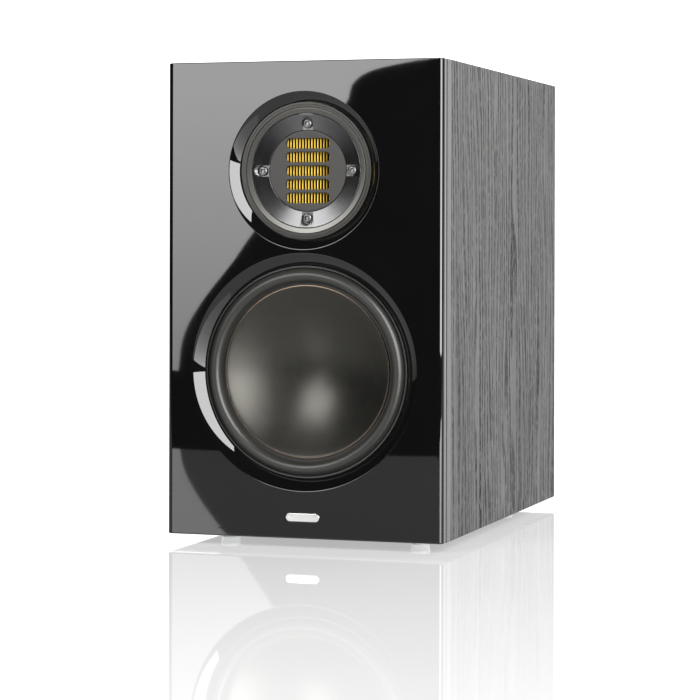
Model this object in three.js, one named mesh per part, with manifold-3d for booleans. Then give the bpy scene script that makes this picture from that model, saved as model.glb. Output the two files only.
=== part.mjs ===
// A two-way bookshelf loudspeaker, built as the real one comes apart on a bench: a mitred veneered
// cabinet with a gloss front baffle, a pleated-film tweeter, a woofer with its whole motor, a reflex
// port, a terminal cup with screw-down binding posts, and the crossover with its cables.
//
// Millimetres, +Z up. The front looks along -Y, and the origin is on the floor under the middle of
// the speaker. Round parts are turned about Y, and a depth is measured back from the baffle's face.
import * as THREE from "three";
import { mergeVertices } from "three/addons/utils/BufferGeometryUtils.js";
import Module from "manifold-3d";

const wasm = await Module();
wasm.setup();

// ---------------------------------------------------------------- driving dimensions

const WIDTH = 200; // cabinet, side to side
const HEIGHT = 326; // cabinet, without its feet
const DEPTH = 320; // baffle face to the back of the port and terminal flanges
const FIT = 0.3; // clearance between pieces that touch

const FOOT_HEIGHT = 6.5;
const FOOT_RADIUS = 7; // where it is stuck on
const FOOT_TAPER = 1.2; // and how much narrower it is on the floor
const FOOT_SIDE_INSET = 30; // foot centre to the cabinet's side
const FOOT_END_INSET = 47; // and to the baffle's face or the back

const BAFFLE_THICKNESS = 8;
const BAFFLE_INSET = 0.5; // how far the baffle stays inside the cabinet's sides
const BAFFLE_EDGE_RADIUS = 4;
const FRAME_DEPTH = 9.4; // smooth lipping between the baffle and the veneer
const WALL = 16; // side, top, bottom and rear panels
const SUB_BAFFLE_THICKNESS = 18;
const BRACE_THICKNESS = 12;
const BRACE_BORDER = 26;
const FLANGE_PROUD = 2.5; // port and terminal flanges stand this far off the rear panel

const TWEETER_FROM_TOP = 75; // driver and port axes, from the cabinet's top
const PORT_FROM_TOP = 86;
const WOOFER_HEIGHT = 113.4; // above the underside of the cabinet
const TERMINAL_HEIGHT = 75;
const BADGE_HEIGHT = 14.5;
const BADGE_WIDTH = 24;
const BADGE_TALL = 5.5;
const BADGE_THICKNESS = 0.8;
const BADGE_CLEARANCE = 0.2;

// Tweeter. Its slots set the size of the plate, and each ring after that is a width added on.
const SLOT_COUNT = 5;
const SLOT_LENGTH = 32;
const SLOT_HEIGHT = 6.8;
const SLOT_PITCH = 9.35;
const PLATE_RIM = 1.85;
const HORN_WIDTH = 11.7;
const BAND_WIDTH = 3.9; // bright inner band of the flange
const RING_WIDTH = 4.2; // its outer ring, as far as the hole in the baffle
const TWEETER_BEVEL_WIDTH = 6.3; // bevel in the baffle
const TWEETER_BEVEL_LAND = 2.8; // straight part of the hole behind it
const TWEETER_FLANGE_LAP = 4.4; // flange hidden behind the baffle
const TWEETER_FLANGE_THICKNESS = 2.9;
const SCREW_INSET = 4.5; // screw circle outside the plate
const CAN_INSET = 1; // back can inside the horn
const CAN_WALL = 2;
const TWEETER_CAN_DEPTH = 52;
const PLEAT_COUNT = 15;
const PLEAT_DEPTH = 3.6;
const FILM_MARGIN = 0.9; // film past the slots, top and bottom
const DIAPHRAGM_FRAME_WIDTH = 3.2;

// Woofer. Its cone sets the size, and each ring after that is a width added on.
const CONE_RADIUS = 59.3;
const CONE_DISH = 22;
const CONE_WALL = 1;
const CONE_GAP = 1; // dark line between the cone and the surround's roll
const SURROUND_WIDTH = 10.5;
const SURROUND_RISE = 5.4;
const RUBBER = 0.8;
const SURROUND_LIP = 2.2; // from the roll to the hole in the baffle
const WOOFER_BEVEL_WIDTH = 8.2;
const WOOFER_BEVEL_LAND = 2;
const BASKET_FLANGE_LAP = 5;
const BASKET_FLANGE_THICKNESS = 3;
const BASKET_WALL = 3;
const BASKET_INSET = 4.8; // basket's mouth inside the surround's outer edge
const BASKET_DEPTH = 61; // its rear face
const SHELF_OUTER = 52; // shelf that the spider is glued to
const SHELF_WIDTH = 10.5;
const WINDOW_COUNT = 6;
const SPIDER_DEPTH = 46;
const COIL_RADIUS = 19; // voice coil former, outside
const FORMER_WALL = 0.5;
const COIL_WIRE = 0.9;
const COIL_HEIGHT = 14;
const COIL_GAP = 0.8; // winding to the plate round it
const MAGNET_RADIUS = 50;
const MAGNET_HEIGHT = 18;
const POLE_PLATE_RADIUS = 44;
const POLE_PLATE_HEIGHT = 6;
const POLE_VENT = 5;
const GASKET_THICKNESS = 0.8;

// Rear panel fittings.
const PORT_RADIUS = 25; // bore
const PORT_WALL = 2.5;
const PORT_LENGTH = 115;
const PORT_FLARE = 12; // radius of both flares
const CUP_WIDTH = 100;
const CUP_HEIGHT = 80;
const CUP_LIP = 8;
const CUP_WALL = 2.5;
const CUP_RECESS = 24;
const POST_SPACING = 25;
const STUD_RADIUS = 3;
const STUD_LENGTH = 34;
const KNOB_RADIUS = 7.5;
const KNOB_LENGTH = 15;
const KNOB_FLUTES = 12;
const BANANA_BORE = 2;
const THREAD_CLEARANCE = 0.4;

// Crossover, on the cabinet's floor.
const BOARD_WIDTH = 110;
const BOARD_LENGTH = 115;
const BOARD_THICKNESS = 2;
const BOARD_LEG = 5;
const BOARD_FRONT_DEPTH = 108;

// Facets round a full circle.
const FINE = 48;
const ROLLED = 40; // cone and surround
const MEDIUM = 32;
const COARSE = 20;

// ---------------------------------------------------------------- places worked out from them

const FRONT_Y = -DEPTH / 2; // baffle face
const CABINET_FRONT = BAFFLE_THICKNESS + FIT; // depths from here on
const PANEL_FRONT = CABINET_FRONT + FRAME_DEPTH + FIT;
const CABINET_REAR = DEPTH - FLANGE_PROUD;
const REAR_PANEL_FRONT = CABINET_REAR - WALL;
const SUB_BAFFLE_REAR = CABINET_FRONT + SUB_BAFFLE_THICKNESS;
const INNER_HALF_WIDTH = WIDTH / 2 - WALL;
const FLOOR_Z = FOOT_HEIGHT + WALL; // inside the cabinet
const CEILING_Z = FOOT_HEIGHT + HEIGHT - WALL;
const TOP_Z = FOOT_HEIGHT + HEIGHT;
const TWEETER_Z = TOP_Z - TWEETER_FROM_TOP;
const WOOFER_Z = FOOT_HEIGHT + WOOFER_HEIGHT;
const PORT_Z = TOP_Z - PORT_FROM_TOP;
const BADGE_Z = FOOT_HEIGHT + BADGE_HEIGHT;
const TERMINAL_Z = FOOT_HEIGHT + TERMINAL_HEIGHT;
const FLANGE_FRONT = CABINET_FRONT + 0.2; // both drivers' flanges, behind the baffle

const SLOT_ARC = SLOT_HEIGHT / 2;
const SLOT_STACK = (SLOT_COUNT - 1) * SLOT_PITCH; // middle of the first slot to that of the last
const SLOT_REACH = Math.hypot(SLOT_LENGTH / 2 - SLOT_ARC, SLOT_STACK / 2) + SLOT_ARC;
const PLATE_RADIUS = SLOT_REACH + PLATE_RIM;
const SCREW_CIRCLE = PLATE_RADIUS + SCREW_INSET;
const HORN_RADIUS = PLATE_RADIUS + HORN_WIDTH;
const BAND_RADIUS = HORN_RADIUS + BAND_WIDTH;
const TWEETER_HOLE_RADIUS = BAND_RADIUS + RING_WIDTH;
const TWEETER_BEVEL_RADIUS = TWEETER_HOLE_RADIUS + TWEETER_BEVEL_WIDTH;
const TWEETER_BEVEL_DEPTH = BAFFLE_THICKNESS - TWEETER_BEVEL_LAND;
const TWEETER_FLANGE_RADIUS = TWEETER_HOLE_RADIUS + TWEETER_FLANGE_LAP;
const TWEETER_FLANGE_REAR = FLANGE_FRONT + TWEETER_FLANGE_THICKNESS;
const TWEETER_REBATE = TWEETER_FLANGE_REAR + GASKET_THICKNESS + 2 * FIT;
const CAN_RADIUS = HORN_RADIUS - CAN_INSET;
const FILM_WIDTH = SLOT_LENGTH + 1;
const FILM_HEIGHT = SLOT_STACK + SLOT_HEIGHT + 2 * FILM_MARGIN;

const SURROUND_INNER_RADIUS = CONE_RADIUS + CONE_GAP;
const SURROUND_OUTER_RADIUS = SURROUND_INNER_RADIUS + SURROUND_WIDTH;
const WOOFER_HOLE_RADIUS = SURROUND_OUTER_RADIUS + SURROUND_LIP;
const WOOFER_BEVEL_RADIUS = WOOFER_HOLE_RADIUS + WOOFER_BEVEL_WIDTH;
const WOOFER_BEVEL_DEPTH = BAFFLE_THICKNESS - WOOFER_BEVEL_LAND;
const BASKET_FLANGE_RADIUS = WOOFER_HOLE_RADIUS + BASKET_FLANGE_LAP;
const BASKET_FLANGE_REAR = FLANGE_FRONT + BASKET_FLANGE_THICKNESS;
const BASKET_MOUTH = SURROUND_OUTER_RADIUS - BASKET_INSET;
const WOOFER_REBATE = BASKET_FLANGE_REAR + GASKET_THICKNESS + 2 * FIT;
const LIP_DEPTH = FLANGE_FRONT - FIT - RUBBER; // surround's outer lip
const CONE_EDGE_DEPTH = LIP_DEPTH + 0.6;
const SHELF_INNER = SHELF_OUTER - SHELF_WIDTH;
const SHELF_DEPTH = SPIDER_DEPTH + 1;
const POLE_RADIUS = COIL_RADIUS - FORMER_WALL - 0.6;
const GAP_RADIUS = COIL_RADIUS + FIT + COIL_WIRE + COIL_GAP;
const MAGNET_BORE = GAP_RADIUS + 3;
const TOP_PLATE_FRONT = BASKET_DEPTH + FIT;
const TOP_PLATE_REAR = TOP_PLATE_FRONT + POLE_PLATE_HEIGHT;
const MAGNET_FRONT = TOP_PLATE_REAR + FIT;
const MAGNET_REAR = MAGNET_FRONT + MAGNET_HEIGHT;
const YOKE_FRONT = MAGNET_REAR + FIT;
const YOKE_REAR = YOKE_FRONT + POLE_PLATE_HEIGHT;
const COIL_MIDDLE = (TOP_PLATE_FRONT + TOP_PLATE_REAR) / 2;
const BRACE_FRONT = TWEETER_CAN_DEPTH + 18;

// ---------------------------------------------------------------- materials

const finish = (color, roughness, metalness = 0) =>
  new THREE.MeshStandardMaterial({ color, roughness, metalness });

const FINISHES = {
  gloss: finish(0x060607, 0.04),
  veneer: finish(0x565654, 0.55),
  lipping: finish(0x7a7a78, 0.5),
  fibreboard: finish(0x8a6f4d, 0.85),
  rearBlack: finish(0x1a1a1a, 0.6),
  clearFoot: finish(0xb9b9ac, 0.25),
  badge: finish(0xe8e8e6, 0.2, 0.9),
  satinBlack: finish(0x2b2b2b, 0.35, 0.2),
  satinSteel: finish(0x8c8b87, 0.3, 0.9),
  plateGrey: finish(0x4c4b49, 0.5, 0.3),
  film: finish(0xd8971c, 0.25, 0.9),
  steel: finish(0xa9a9a6, 0.35, 0.95),
  neodymium: finish(0x9c9da0, 0.3, 1),
  foam: finish(0x202020, 0.95),
  castAlloy: finish(0x3a3b3c, 0.5, 0.6),
  rubber: finish(0x34342f, 0.6),
  cone: finish(0x2f2e2b, 0.38, 0.5),
  former: finish(0xb08850, 0.5),
  copper: finish(0xb86a3a, 0.35, 0.9),
  spiderCloth: finish(0xb07a2a, 0.9),
  ferrite: finish(0x303133, 0.8),
  blackPlastic: finish(0x141414, 0.45),
  brass: finish(0xd4ab4e, 0.25, 1),
  board: finish(0x2d5a37, 0.6),
  capacitor: finish(0x9b2f24, 0.4),
  ceramic: finish(0xe6e2d6, 0.8),
  cable: finish(0x252525, 0.6),
  wool: finish(0xdedbd2, 1),
};

// ---------------------------------------------------------------- making and cutting solids

// A closed three.js geometry as a manifold-3d solid, turned face outwards if it was inside out.
function toSolid(geometry) {
  const bare = new THREE.BufferGeometry().setAttribute("position", geometry.getAttribute("position"));
  if (geometry.index) bare.setIndex(geometry.index);
  const merged = mergeVertices(bare, 1e-3);
  const triVerts = new Uint32Array(merged.index.array);
  const make = () => {
    const vertProperties = new Float32Array(merged.attributes.position.array);
    return new wasm.Manifold(new wasm.Mesh({ numProp: 3, vertProperties, triVerts }));
  };
  const solid = make();
  if (solid.volume() >= 0) return solid;
  for (let i = 0; i < triVerts.length; i += 3) {
    [triVerts[i + 1], triVerts[i + 2]] = [triVerts[i + 2], triVerts[i + 1]];
  }
  return make();
}

// A manifold-3d solid as a three.js geometry with flat normals.
function toGeometry(solid) {
  const mesh = solid.getMesh();
  const geometry = new THREE.BufferGeometry();
  geometry.setAttribute("position", new THREE.BufferAttribute(new Float32Array(mesh.vertProperties), 3));
  geometry.setIndex(new THREE.BufferAttribute(new Uint32Array(mesh.triVerts), 1));
  const flat = geometry.toNonIndexed();
  flat.computeVertexNormals();
  return flat;
}

const cut = (geometry, ...cutters) =>
  toGeometry(cutters.reduce((left, cutter) => left.subtract(toSolid(cutter)), toSolid(geometry)));

const join = (geometry, ...others) =>
  toGeometry(others.reduce((whole, other) => whole.add(toSolid(other)), toSolid(geometry)));

// A solid of revolution about Y. Its profile is a list of [radius, depth]; one that doesn't end on
// the axis at both ends is closed on itself.
function turned(profile, facets = MEDIUM) {
  const points = profile.map(([radius, depth]) => new THREE.Vector2(radius, depth));
  const onAxis = profile[0][0] === 0 && profile.at(-1)[0] === 0;
  if (!onAxis) points.push(points[0].clone());
  return toGeometry(toSolid(new THREE.LatheGeometry(points, facets)));
}

// A disc or rod about Y from one depth to another, and the same with a bore.
const rod = (radius, front, rear, facets = MEDIUM) =>
  turned([[0, front], [radius, front], [radius, rear], [0, rear]], facets);
const ring = (inner, outer, front, rear, facets = MEDIUM) =>
  turned([[inner, front], [outer, front], [outer, rear], [inner, rear]], facets);

// A shape drawn in X and Z, extruded along Y between two depths.
function slab(shape, front, rear, curveSegments = 8) {
  const depth = rear - front;
  const geometry = new THREE.ExtrudeGeometry(shape, { depth, bevelEnabled: false, curveSegments });
  return geometry.rotateX(Math.PI / 2).translate(0, rear, 0);
}

// A shape drawn in X and Y, extruded along Z.
function column(shape, bottom, top, curveSegments = 8) {
  const depth = top - bottom;
  const geometry = new THREE.ExtrudeGeometry(shape, { depth, bevelEnabled: false, curveSegments });
  return geometry.translate(0, 0, bottom);
}

const box = (x0, x1, y0, y1, z0, z1) =>
  new THREE.BoxGeometry(x1 - x0, y1 - y0, z1 - z0).translate((x0 + x1) / 2, (y0 + y1) / 2, (z0 + z1) / 2);

function polygon(points) {
  return new THREE.Shape(points.map(([x, y]) => new THREE.Vector2(x, y)));
}

// A rectangle centred on the drawing's origin, with round corners.
function roundedRectangle(width, height, radius) {
  const [x, y] = [width / 2, height / 2];
  const shape = new THREE.Shape();
  shape.moveTo(-x + radius, -y);
  shape.lineTo(x - radius, -y);
  shape.absarc(x - radius, -y + radius, radius, -Math.PI / 2, 0);
  shape.lineTo(x, y - radius);
  shape.absarc(x - radius, y - radius, radius, 0, Math.PI / 2);
  shape.lineTo(-x + radius, y);
  shape.absarc(-x + radius, y - radius, radius, Math.PI / 2, Math.PI);
  shape.lineTo(-x, -y + radius);
  shape.absarc(-x + radius, -y + radius, radius, Math.PI, 1.5 * Math.PI);
  return shape;
}

// A round cable along a smooth curve through the points, each [x, depth, z].
function cable(points, radius, steps) {
  const path = new THREE.CatmullRomCurve3(points.map(([x, y, z]) => new THREE.Vector3(x, y, z)));
  const section = new THREE.Shape().absarc(0, 0, radius, 0, 2 * Math.PI);
  return new THREE.ExtrudeGeometry(section, { steps, extrudePath: path, curveSegments: 4 });
}

const speaker = new THREE.Group();

// Adds a named piece. Its geometry is drawn with Y as the depth behind the baffle's face.
function add(name, geometry, material, x = 0, z = 0) {
  const mesh = new THREE.Mesh(geometry, material);
  mesh.name = name;
  mesh.position.set(x, FRONT_Y, z);
  speaker.add(mesh);
}

// ---------------------------------------------------------------- cabinet

// The badge's round-ended outline, or a larger one that clears it.
function badgeOutline(clearance) {
  const [width, height] = [BADGE_WIDTH + 2 * clearance, BADGE_TALL + 2 * clearance];
  return roundedRectangle(width, height, height / 2 - 0.01);
}

// The gloss baffle: a plate with eased upright edges, bevelled down to each driver.
function frontBaffle() {
  const halfWidth = WIDTH / 2 - BAFFLE_INSET;
  const edge = BAFFLE_EDGE_RADIUS;
  const plan = new THREE.Shape();
  plan.moveTo(-halfWidth, BAFFLE_THICKNESS);
  plan.lineTo(-halfWidth, edge);
  plan.absarc(-halfWidth + edge, edge, edge, Math.PI, 1.5 * Math.PI);
  plan.lineTo(halfWidth - edge, 0);
  plan.absarc(halfWidth - edge, edge, edge, 1.5 * Math.PI, 2 * Math.PI);
  plan.lineTo(halfWidth, BAFFLE_THICKNESS);
  const plate = column(plan, FOOT_HEIGHT, TOP_Z, 4);
  const bevelled = (rim, hole, bevel, z) => {
    const slope = (rim - hole) / bevel; // the cutter starts one millimetre ahead of the face
    const behind = BAFFLE_THICKNESS + 1;
    const profile = [[0, -1], [rim + slope, -1], [hole, bevel], [hole, behind], [0, behind]];
    return turned(profile, FINE).translate(0, 0, z);
  };
  const holes = [
    bevelled(TWEETER_BEVEL_RADIUS, TWEETER_HOLE_RADIUS, TWEETER_BEVEL_DEPTH, TWEETER_Z),
    bevelled(WOOFER_BEVEL_RADIUS, WOOFER_HOLE_RADIUS, WOOFER_BEVEL_DEPTH, WOOFER_Z),
  ];
  const pocket = badgeOutline(BADGE_CLEARANCE);
  const badgePocket = slab(pocket, -1, BADGE_THICKNESS + BADGE_CLEARANCE, 4).translate(0, 0, BADGE_Z);
  add("front_baffle", cut(plate, ...holes, badgePocket), FINISHES.gloss);
}

// Four panels folded round a mitre at each corner, as veneered board is.
function mitredPanels() {
  const [x, xIn] = [WIDTH / 2, INNER_HALF_WIDTH];
  const mitre = FIT / 2;
  const side = polygon([
    [x, FOOT_HEIGHT + mitre],
    [x, TOP_Z - mitre],
    [xIn, CEILING_Z - mitre],
    [xIn, FLOOR_Z + mitre],
  ]);
  const flat = (outer, inner) =>
    polygon([
      [-x + mitre, outer],
      [x - mitre, outer],
      [xIn - mitre, inner],
      [-xIn + mitre, inner],
    ]);
  const right = slab(side, PANEL_FRONT, CABINET_REAR);
  const left = right.clone().rotateZ(Math.PI).translate(0, PANEL_FRONT + CABINET_REAR, 0);
  add("side_panel_right", right, FINISHES.veneer);
  add("side_panel_left", left, FINISHES.veneer);
  add("top_panel", slab(flat(TOP_Z, CEILING_Z), PANEL_FRONT, CABINET_REAR), FINISHES.veneer);
  add("bottom_panel", slab(flat(FOOT_HEIGHT, FLOOR_Z), PANEL_FRONT, CABINET_REAR), FINISHES.veneer);
}

// The smooth painted lipping that the veneered panels and the baffle both butt against.
function frontFrame() {
  const outer = box(-WIDTH / 2, WIDTH / 2, CABINET_FRONT, PANEL_FRONT - FIT, FOOT_HEIGHT, TOP_Z);
  const [x, rear] = [INNER_HALF_WIDTH, PANEL_FRONT];
  const opening = box(-x, x, CABINET_FRONT - 1, rear, FLOOR_Z, CEILING_Z);
  add("front_frame", cut(outer, opening), FINISHES.lipping);
}

// A board that fills the cabinet's inside, between two depths.
const innerBoard = (front, rear) =>
  box(-INNER_HALF_WIDTH + FIT, INNER_HALF_WIDTH - FIT, front, rear, FLOOR_Z + FIT, CEILING_Z - FIT);

// The board behind the baffle that carries both drivers, rebated for their flanges.
function subBaffle() {
  const seat = (rebate, rebateDepth, hole, z) =>
    turned(
      [
        [0, CABINET_FRONT - 1],
        [rebate, CABINET_FRONT - 1],
        [rebate, rebateDepth],
        [hole, rebateDepth],
        [hole, SUB_BAFFLE_REAR + 1],
        [0, SUB_BAFFLE_REAR + 1],
      ],
      MEDIUM,
    ).translate(0, 0, z);
  const wooferSeat = seat(BASKET_FLANGE_RADIUS + FIT * 2, WOOFER_REBATE, SURROUND_OUTER_RADIUS, WOOFER_Z);
  const tweeterHole = CAN_RADIUS + 2;
  const tweeterSeat = seat(TWEETER_FLANGE_RADIUS + FIT * 2, TWEETER_REBATE, tweeterHole, TWEETER_Z);
  const board = innerBoard(CABINET_FRONT, SUB_BAFFLE_REAR);
  add("sub_baffle", cut(board, wooferSeat, tweeterSeat), FINISHES.fibreboard);
}

// The rear panel, with a round hole for the port and a square one for the terminal cup.
function rearPanel() {
  const through = [REAR_PANEL_FRONT - 1, CABINET_REAR + 1];
  const portHole = rod(PORT_RADIUS + PORT_WALL + PORT_FLARE / 2, ...through).translate(0, 0, PORT_Z);
  const [cupWidth, cupHeight] = [CUP_WIDTH - 2 * CUP_LIP, CUP_HEIGHT - 2 * CUP_LIP];
  const cupOpening = roundedRectangle(cupWidth + 2 * FIT, cupHeight + 2 * FIT, 4);
  const cupHole = slab(cupOpening, ...through, 3).translate(0, 0, TERMINAL_Z);
  add("rear_panel", cut(innerBoard(REAR_PANEL_FRONT, CABINET_REAR), portHole, cupHole), FINISHES.rearBlack);
}

// The shelf brace between the drivers: a frame of board with a round-cornered window.
function windowBrace() {
  const [front, rear] = [BRACE_FRONT, REAR_PANEL_FRONT - FIT];
  const middle = (TWEETER_Z - CAN_RADIUS + WOOFER_Z + MAGNET_RADIUS) / 2;
  const [bottom, top] = [middle - BRACE_THICKNESS / 2, middle + BRACE_THICKNESS / 2];
  const frame = box(-INNER_HALF_WIDTH + FIT, INNER_HALF_WIDTH - FIT, front, rear, bottom, top);
  const windowDepth = rear - front - 2 * BRACE_BORDER;
  const window = roundedRectangle(2 * (INNER_HALF_WIDTH - BRACE_BORDER), windowDepth, 20);
  const hole = column(window, bottom - 1, top + 1, 4).translate(0, (front + rear) / 2, 0);
  add("window_brace", cut(frame, hole), FINISHES.fibreboard);
}

// Four clear stick-on bumpers, wider where they are stuck than on the floor.
function feet() {
  const top = FOOT_HEIGHT - FIT;
  const profile = [[0, 0], [FOOT_RADIUS - FOOT_TAPER, 0], [FOOT_RADIUS, top], [0, top]];
  const bumper = turned(profile, COARSE).rotateX(Math.PI / 2);
  const x = WIDTH / 2 - FOOT_SIDE_INSET;
  for (const [end, depth] of [["front", FOOT_END_INSET], ["rear", DEPTH - FOOT_END_INSET]]) {
    for (const [side, place] of [["left", -x], ["right", x]]) {
      add(`foot_${end}_${side}`, bumper.clone().translate(0, depth, 0), FINISHES.clearFoot, place);
    }
  }
}

// A plain lozenge of polished metal, let in flush with the baffle's face.
function badge() {
  add("badge", slab(badgeOutline(0), 0, BADGE_THICKNESS, 4), FINISHES.badge, 0, BADGE_Z);
}

// ---------------------------------------------------------------- tweeter

const GROOVE_WIDTH = 0.5;

// The outer ring, clamped behind the baffle, with a groove between its two visible bands.
function tweeterFlange() {
  const profile = [
    [TWEETER_FLANGE_RADIUS, FLANGE_FRONT],
    [TWEETER_FLANGE_RADIUS, TWEETER_FLANGE_REAR],
    [HORN_RADIUS, TWEETER_FLANGE_REAR],
    [HORN_RADIUS, TWEETER_BEVEL_DEPTH + 0.6],
    [BAND_RADIUS - GROOVE_WIDTH, TWEETER_BEVEL_DEPTH - 0.2],
    [BAND_RADIUS - GROOVE_WIDTH, TWEETER_BEVEL_DEPTH + 1],
    [BAND_RADIUS, TWEETER_BEVEL_DEPTH + 1],
    [BAND_RADIUS, TWEETER_BEVEL_DEPTH + 0.2],
    [TWEETER_HOLE_RADIUS - 2 * FIT, TWEETER_BEVEL_DEPTH + 0.2],
    [TWEETER_HOLE_RADIUS - 2 * FIT, FLANGE_FRONT],
  ];
  add("tweeter_flange", turned(profile, FINE), FINISHES.satinSteel, 0, TWEETER_Z);
}

const HORN_FRONT = TWEETER_BEVEL_DEPTH + 0.8;
const HORN_THROAT = HORN_FRONT + 3.4;
const HORN_REAR = TWEETER_FLANGE_REAR + 0.6;
const SCREW_SEAT = HORN_THROAT + 0.2;
const SCREW_HEAD_RADIUS = 3.3;
const SCREW_HEAD_HEIGHT = 2.2;
const SCREW_SHANK_RADIUS = 1.6;
const SCREW_LENGTH = 18.5; // under the head

// The four places round the tweeter where its screws stand, as [name, x, z].
const screwPlaces = ["right", "top", "left", "bottom"].map((name, i) => {
  const angle = (i * Math.PI) / 2;
  return [name, SCREW_CIRCLE * Math.cos(angle), SCREW_CIRCLE * Math.sin(angle)];
});

const screwHoles = (front, rear) =>
  screwPlaces.map(([, x, z]) => rod(SCREW_SHANK_RADIUS + FIT, front, rear, 16).translate(x, 0, z));

// The short conical horn, with a flat-floored pocket for each screw that opens towards the middle.
function tweeterWaveguide() {
  const outer = HORN_RADIUS - FIT;
  const inner = PLATE_RADIUS + FIT;
  const profile = [
    [outer, HORN_FRONT],
    [outer, HORN_REAR],
    [inner, HORN_REAR],
    [inner, HORN_THROAT],
  ];
  const cone = turned(profile, FINE);
  const pocketRadius = SCREW_HEAD_RADIUS + 0.6;
  const pockets = screwPlaces.flatMap(([, x, z]) => {
    const round = rod(pocketRadius, HORN_FRONT - 1, SCREW_SEAT, 16).translate(x, 0, z);
    const reach = SCREW_CIRCLE - inner + 2;
    const [dx, dz] = [-Math.sign(Math.round(x)) * reach, -Math.sign(Math.round(z)) * reach];
    const [x0, x1] = dx ? [Math.min(x, x + dx), Math.max(x, x + dx)] : [-pocketRadius, pocketRadius];
    const [z0, z1] = dz ? [Math.min(z, z + dz), Math.max(z, z + dz)] : [-pocketRadius, pocketRadius];
    return [round, box(x0, x1, HORN_FRONT - 1, SCREW_SEAT, z0, z1)];
  });
  const horn = cut(cone, ...pockets, ...screwHoles(HORN_FRONT, HORN_REAR + 1));
  add("tweeter_waveguide", horn, FINISHES.satinBlack, 0, TWEETER_Z);
}

// One round-ended slot, and the row of them that both tweeter plates have.
function slots(front, rear, length = SLOT_LENGTH) {
  const outline = roundedRectangle(length, SLOT_HEIGHT, SLOT_HEIGHT / 2 - 0.01);
  return Array.from({ length: SLOT_COUNT }, (_, i) =>
    slab(outline, front, rear, 2).translate(0, 0, (i - (SLOT_COUNT - 1) / 2) * SLOT_PITCH),
  );
}

function tweeterFrontPlate() {
  const [front, rear] = [HORN_THROAT - 0.2, HORN_REAR - 0.1];
  const plate = cut(rod(PLATE_RADIUS, front, rear, FINE), ...slots(front - 1, rear + 1));
  add("tweeter_front_plate", plate, FINISHES.plateGrey, 0, TWEETER_Z);
}

const FRAME_FRONT = HORN_REAR + FIT;
const FRAME_REAR = FRAME_FRONT + PLEAT_DEPTH + 1.6;
const FRAME_HALF_WIDTH = FILM_WIDTH / 2 + FIT + DIAPHRAGM_FRAME_WIDTH;

// The film, folded into upright pleats, and the frame that holds its edges.
function tweeterDiaphragm() {
  const [middle, thickness] = [(FRAME_FRONT + FRAME_REAR) / 2, 0.35];
  const step = FILM_WIDTH / (2 * PLEAT_COUNT);
  const crease = (i, offset) => {
    const side = i % 2 ? 1 : -1;
    return [-FILM_WIDTH / 2 + i * step, middle + (side * PLEAT_DEPTH) / 2 + offset];
  };
  const count = 2 * PLEAT_COUNT + 1;
  const frontLine = Array.from({ length: count }, (_, i) => crease(i, -thickness));
  const rearLine = Array.from({ length: count }, (_, i) => crease(count - 1 - i, thickness));
  const film = column(polygon([...frontLine, ...rearLine]), -FILM_HEIGHT / 2, FILM_HEIGHT / 2);
  add("tweeter_diaphragm", film, FINISHES.film, 0, TWEETER_Z);

  const frameHeight = FILM_HEIGHT + 2 * FIT + 2 * DIAPHRAGM_FRAME_WIDTH;
  const outer = slab(roundedRectangle(2 * FRAME_HALF_WIDTH, frameHeight, 2), FRAME_FRONT, FRAME_REAR, 2);
  const inner = slab(roundedRectangle(FILM_WIDTH + 2 * FIT, FILM_HEIGHT + 2 * FIT, 1), 0, FRAME_REAR + 1, 2);
  add("tweeter_diaphragm_frame", cut(outer, inner), FINISHES.blackPlastic, 0, TWEETER_Z);
}

const TWEETER_YOKE_FRONT = FRAME_FRONT + 12.2;
const TWEETER_YOKE_REAR = TWEETER_YOKE_FRONT + 4;
const TWEETER_YOKE_RADIUS = CAN_RADIUS - CAN_WALL - 3 * FIT;

// The motor: a bar magnet each side of the film, and the slotted plate that closes the field.
function tweeterMotor() {
  const near = FRAME_HALF_WIDTH + FIT;
  const far = SCREW_CIRCLE - SCREW_SHANK_RADIUS - 2 * FIT;
  const half = Math.sqrt(TWEETER_YOKE_RADIUS ** 2 - far ** 2) - 1;
  for (const [name, x0, x1] of [["right", near, far], ["left", -far, -near]]) {
    const bar = box(x0, x1, FRAME_FRONT, TWEETER_YOKE_FRONT - FIT, -half, half);
    add(`tweeter_magnet_${name}`, bar, FINISHES.neodymium, 0, TWEETER_Z);
  }
  const disc = rod(TWEETER_YOKE_RADIUS, TWEETER_YOKE_FRONT, TWEETER_YOKE_REAR, MEDIUM);
  const openings = slots(TWEETER_YOKE_FRONT - 1, TWEETER_YOKE_REAR + 1, SLOT_LENGTH - 4);
  const holes = screwHoles(TWEETER_YOKE_FRONT - 1, TWEETER_YOKE_REAR + 1);
  add("tweeter_rear_plate", cut(disc, ...openings, ...holes), FINISHES.steel, 0, TWEETER_Z);
}

// The can that closes the tweeter off from the woofer's air.
function tweeterBackCan() {
  const shell = rod(CAN_RADIUS, FRAME_FRONT, TWEETER_CAN_DEPTH);
  const hollow = rod(CAN_RADIUS - CAN_WALL, FRAME_FRONT - 1, TWEETER_CAN_DEPTH - CAN_WALL);
  add("tweeter_back_can", cut(shell, hollow), FINISHES.blackPlastic, 0, TWEETER_Z);
}

function tweeterGasket() {
  const front = TWEETER_FLANGE_REAR + FIT;
  const gasket = ring(CAN_RADIUS + 3, TWEETER_FLANGE_RADIUS - 1, front, front + GASKET_THICKNESS);
  add("tweeter_gasket", gasket, FINISHES.foam, 0, TWEETER_Z);
}

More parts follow.
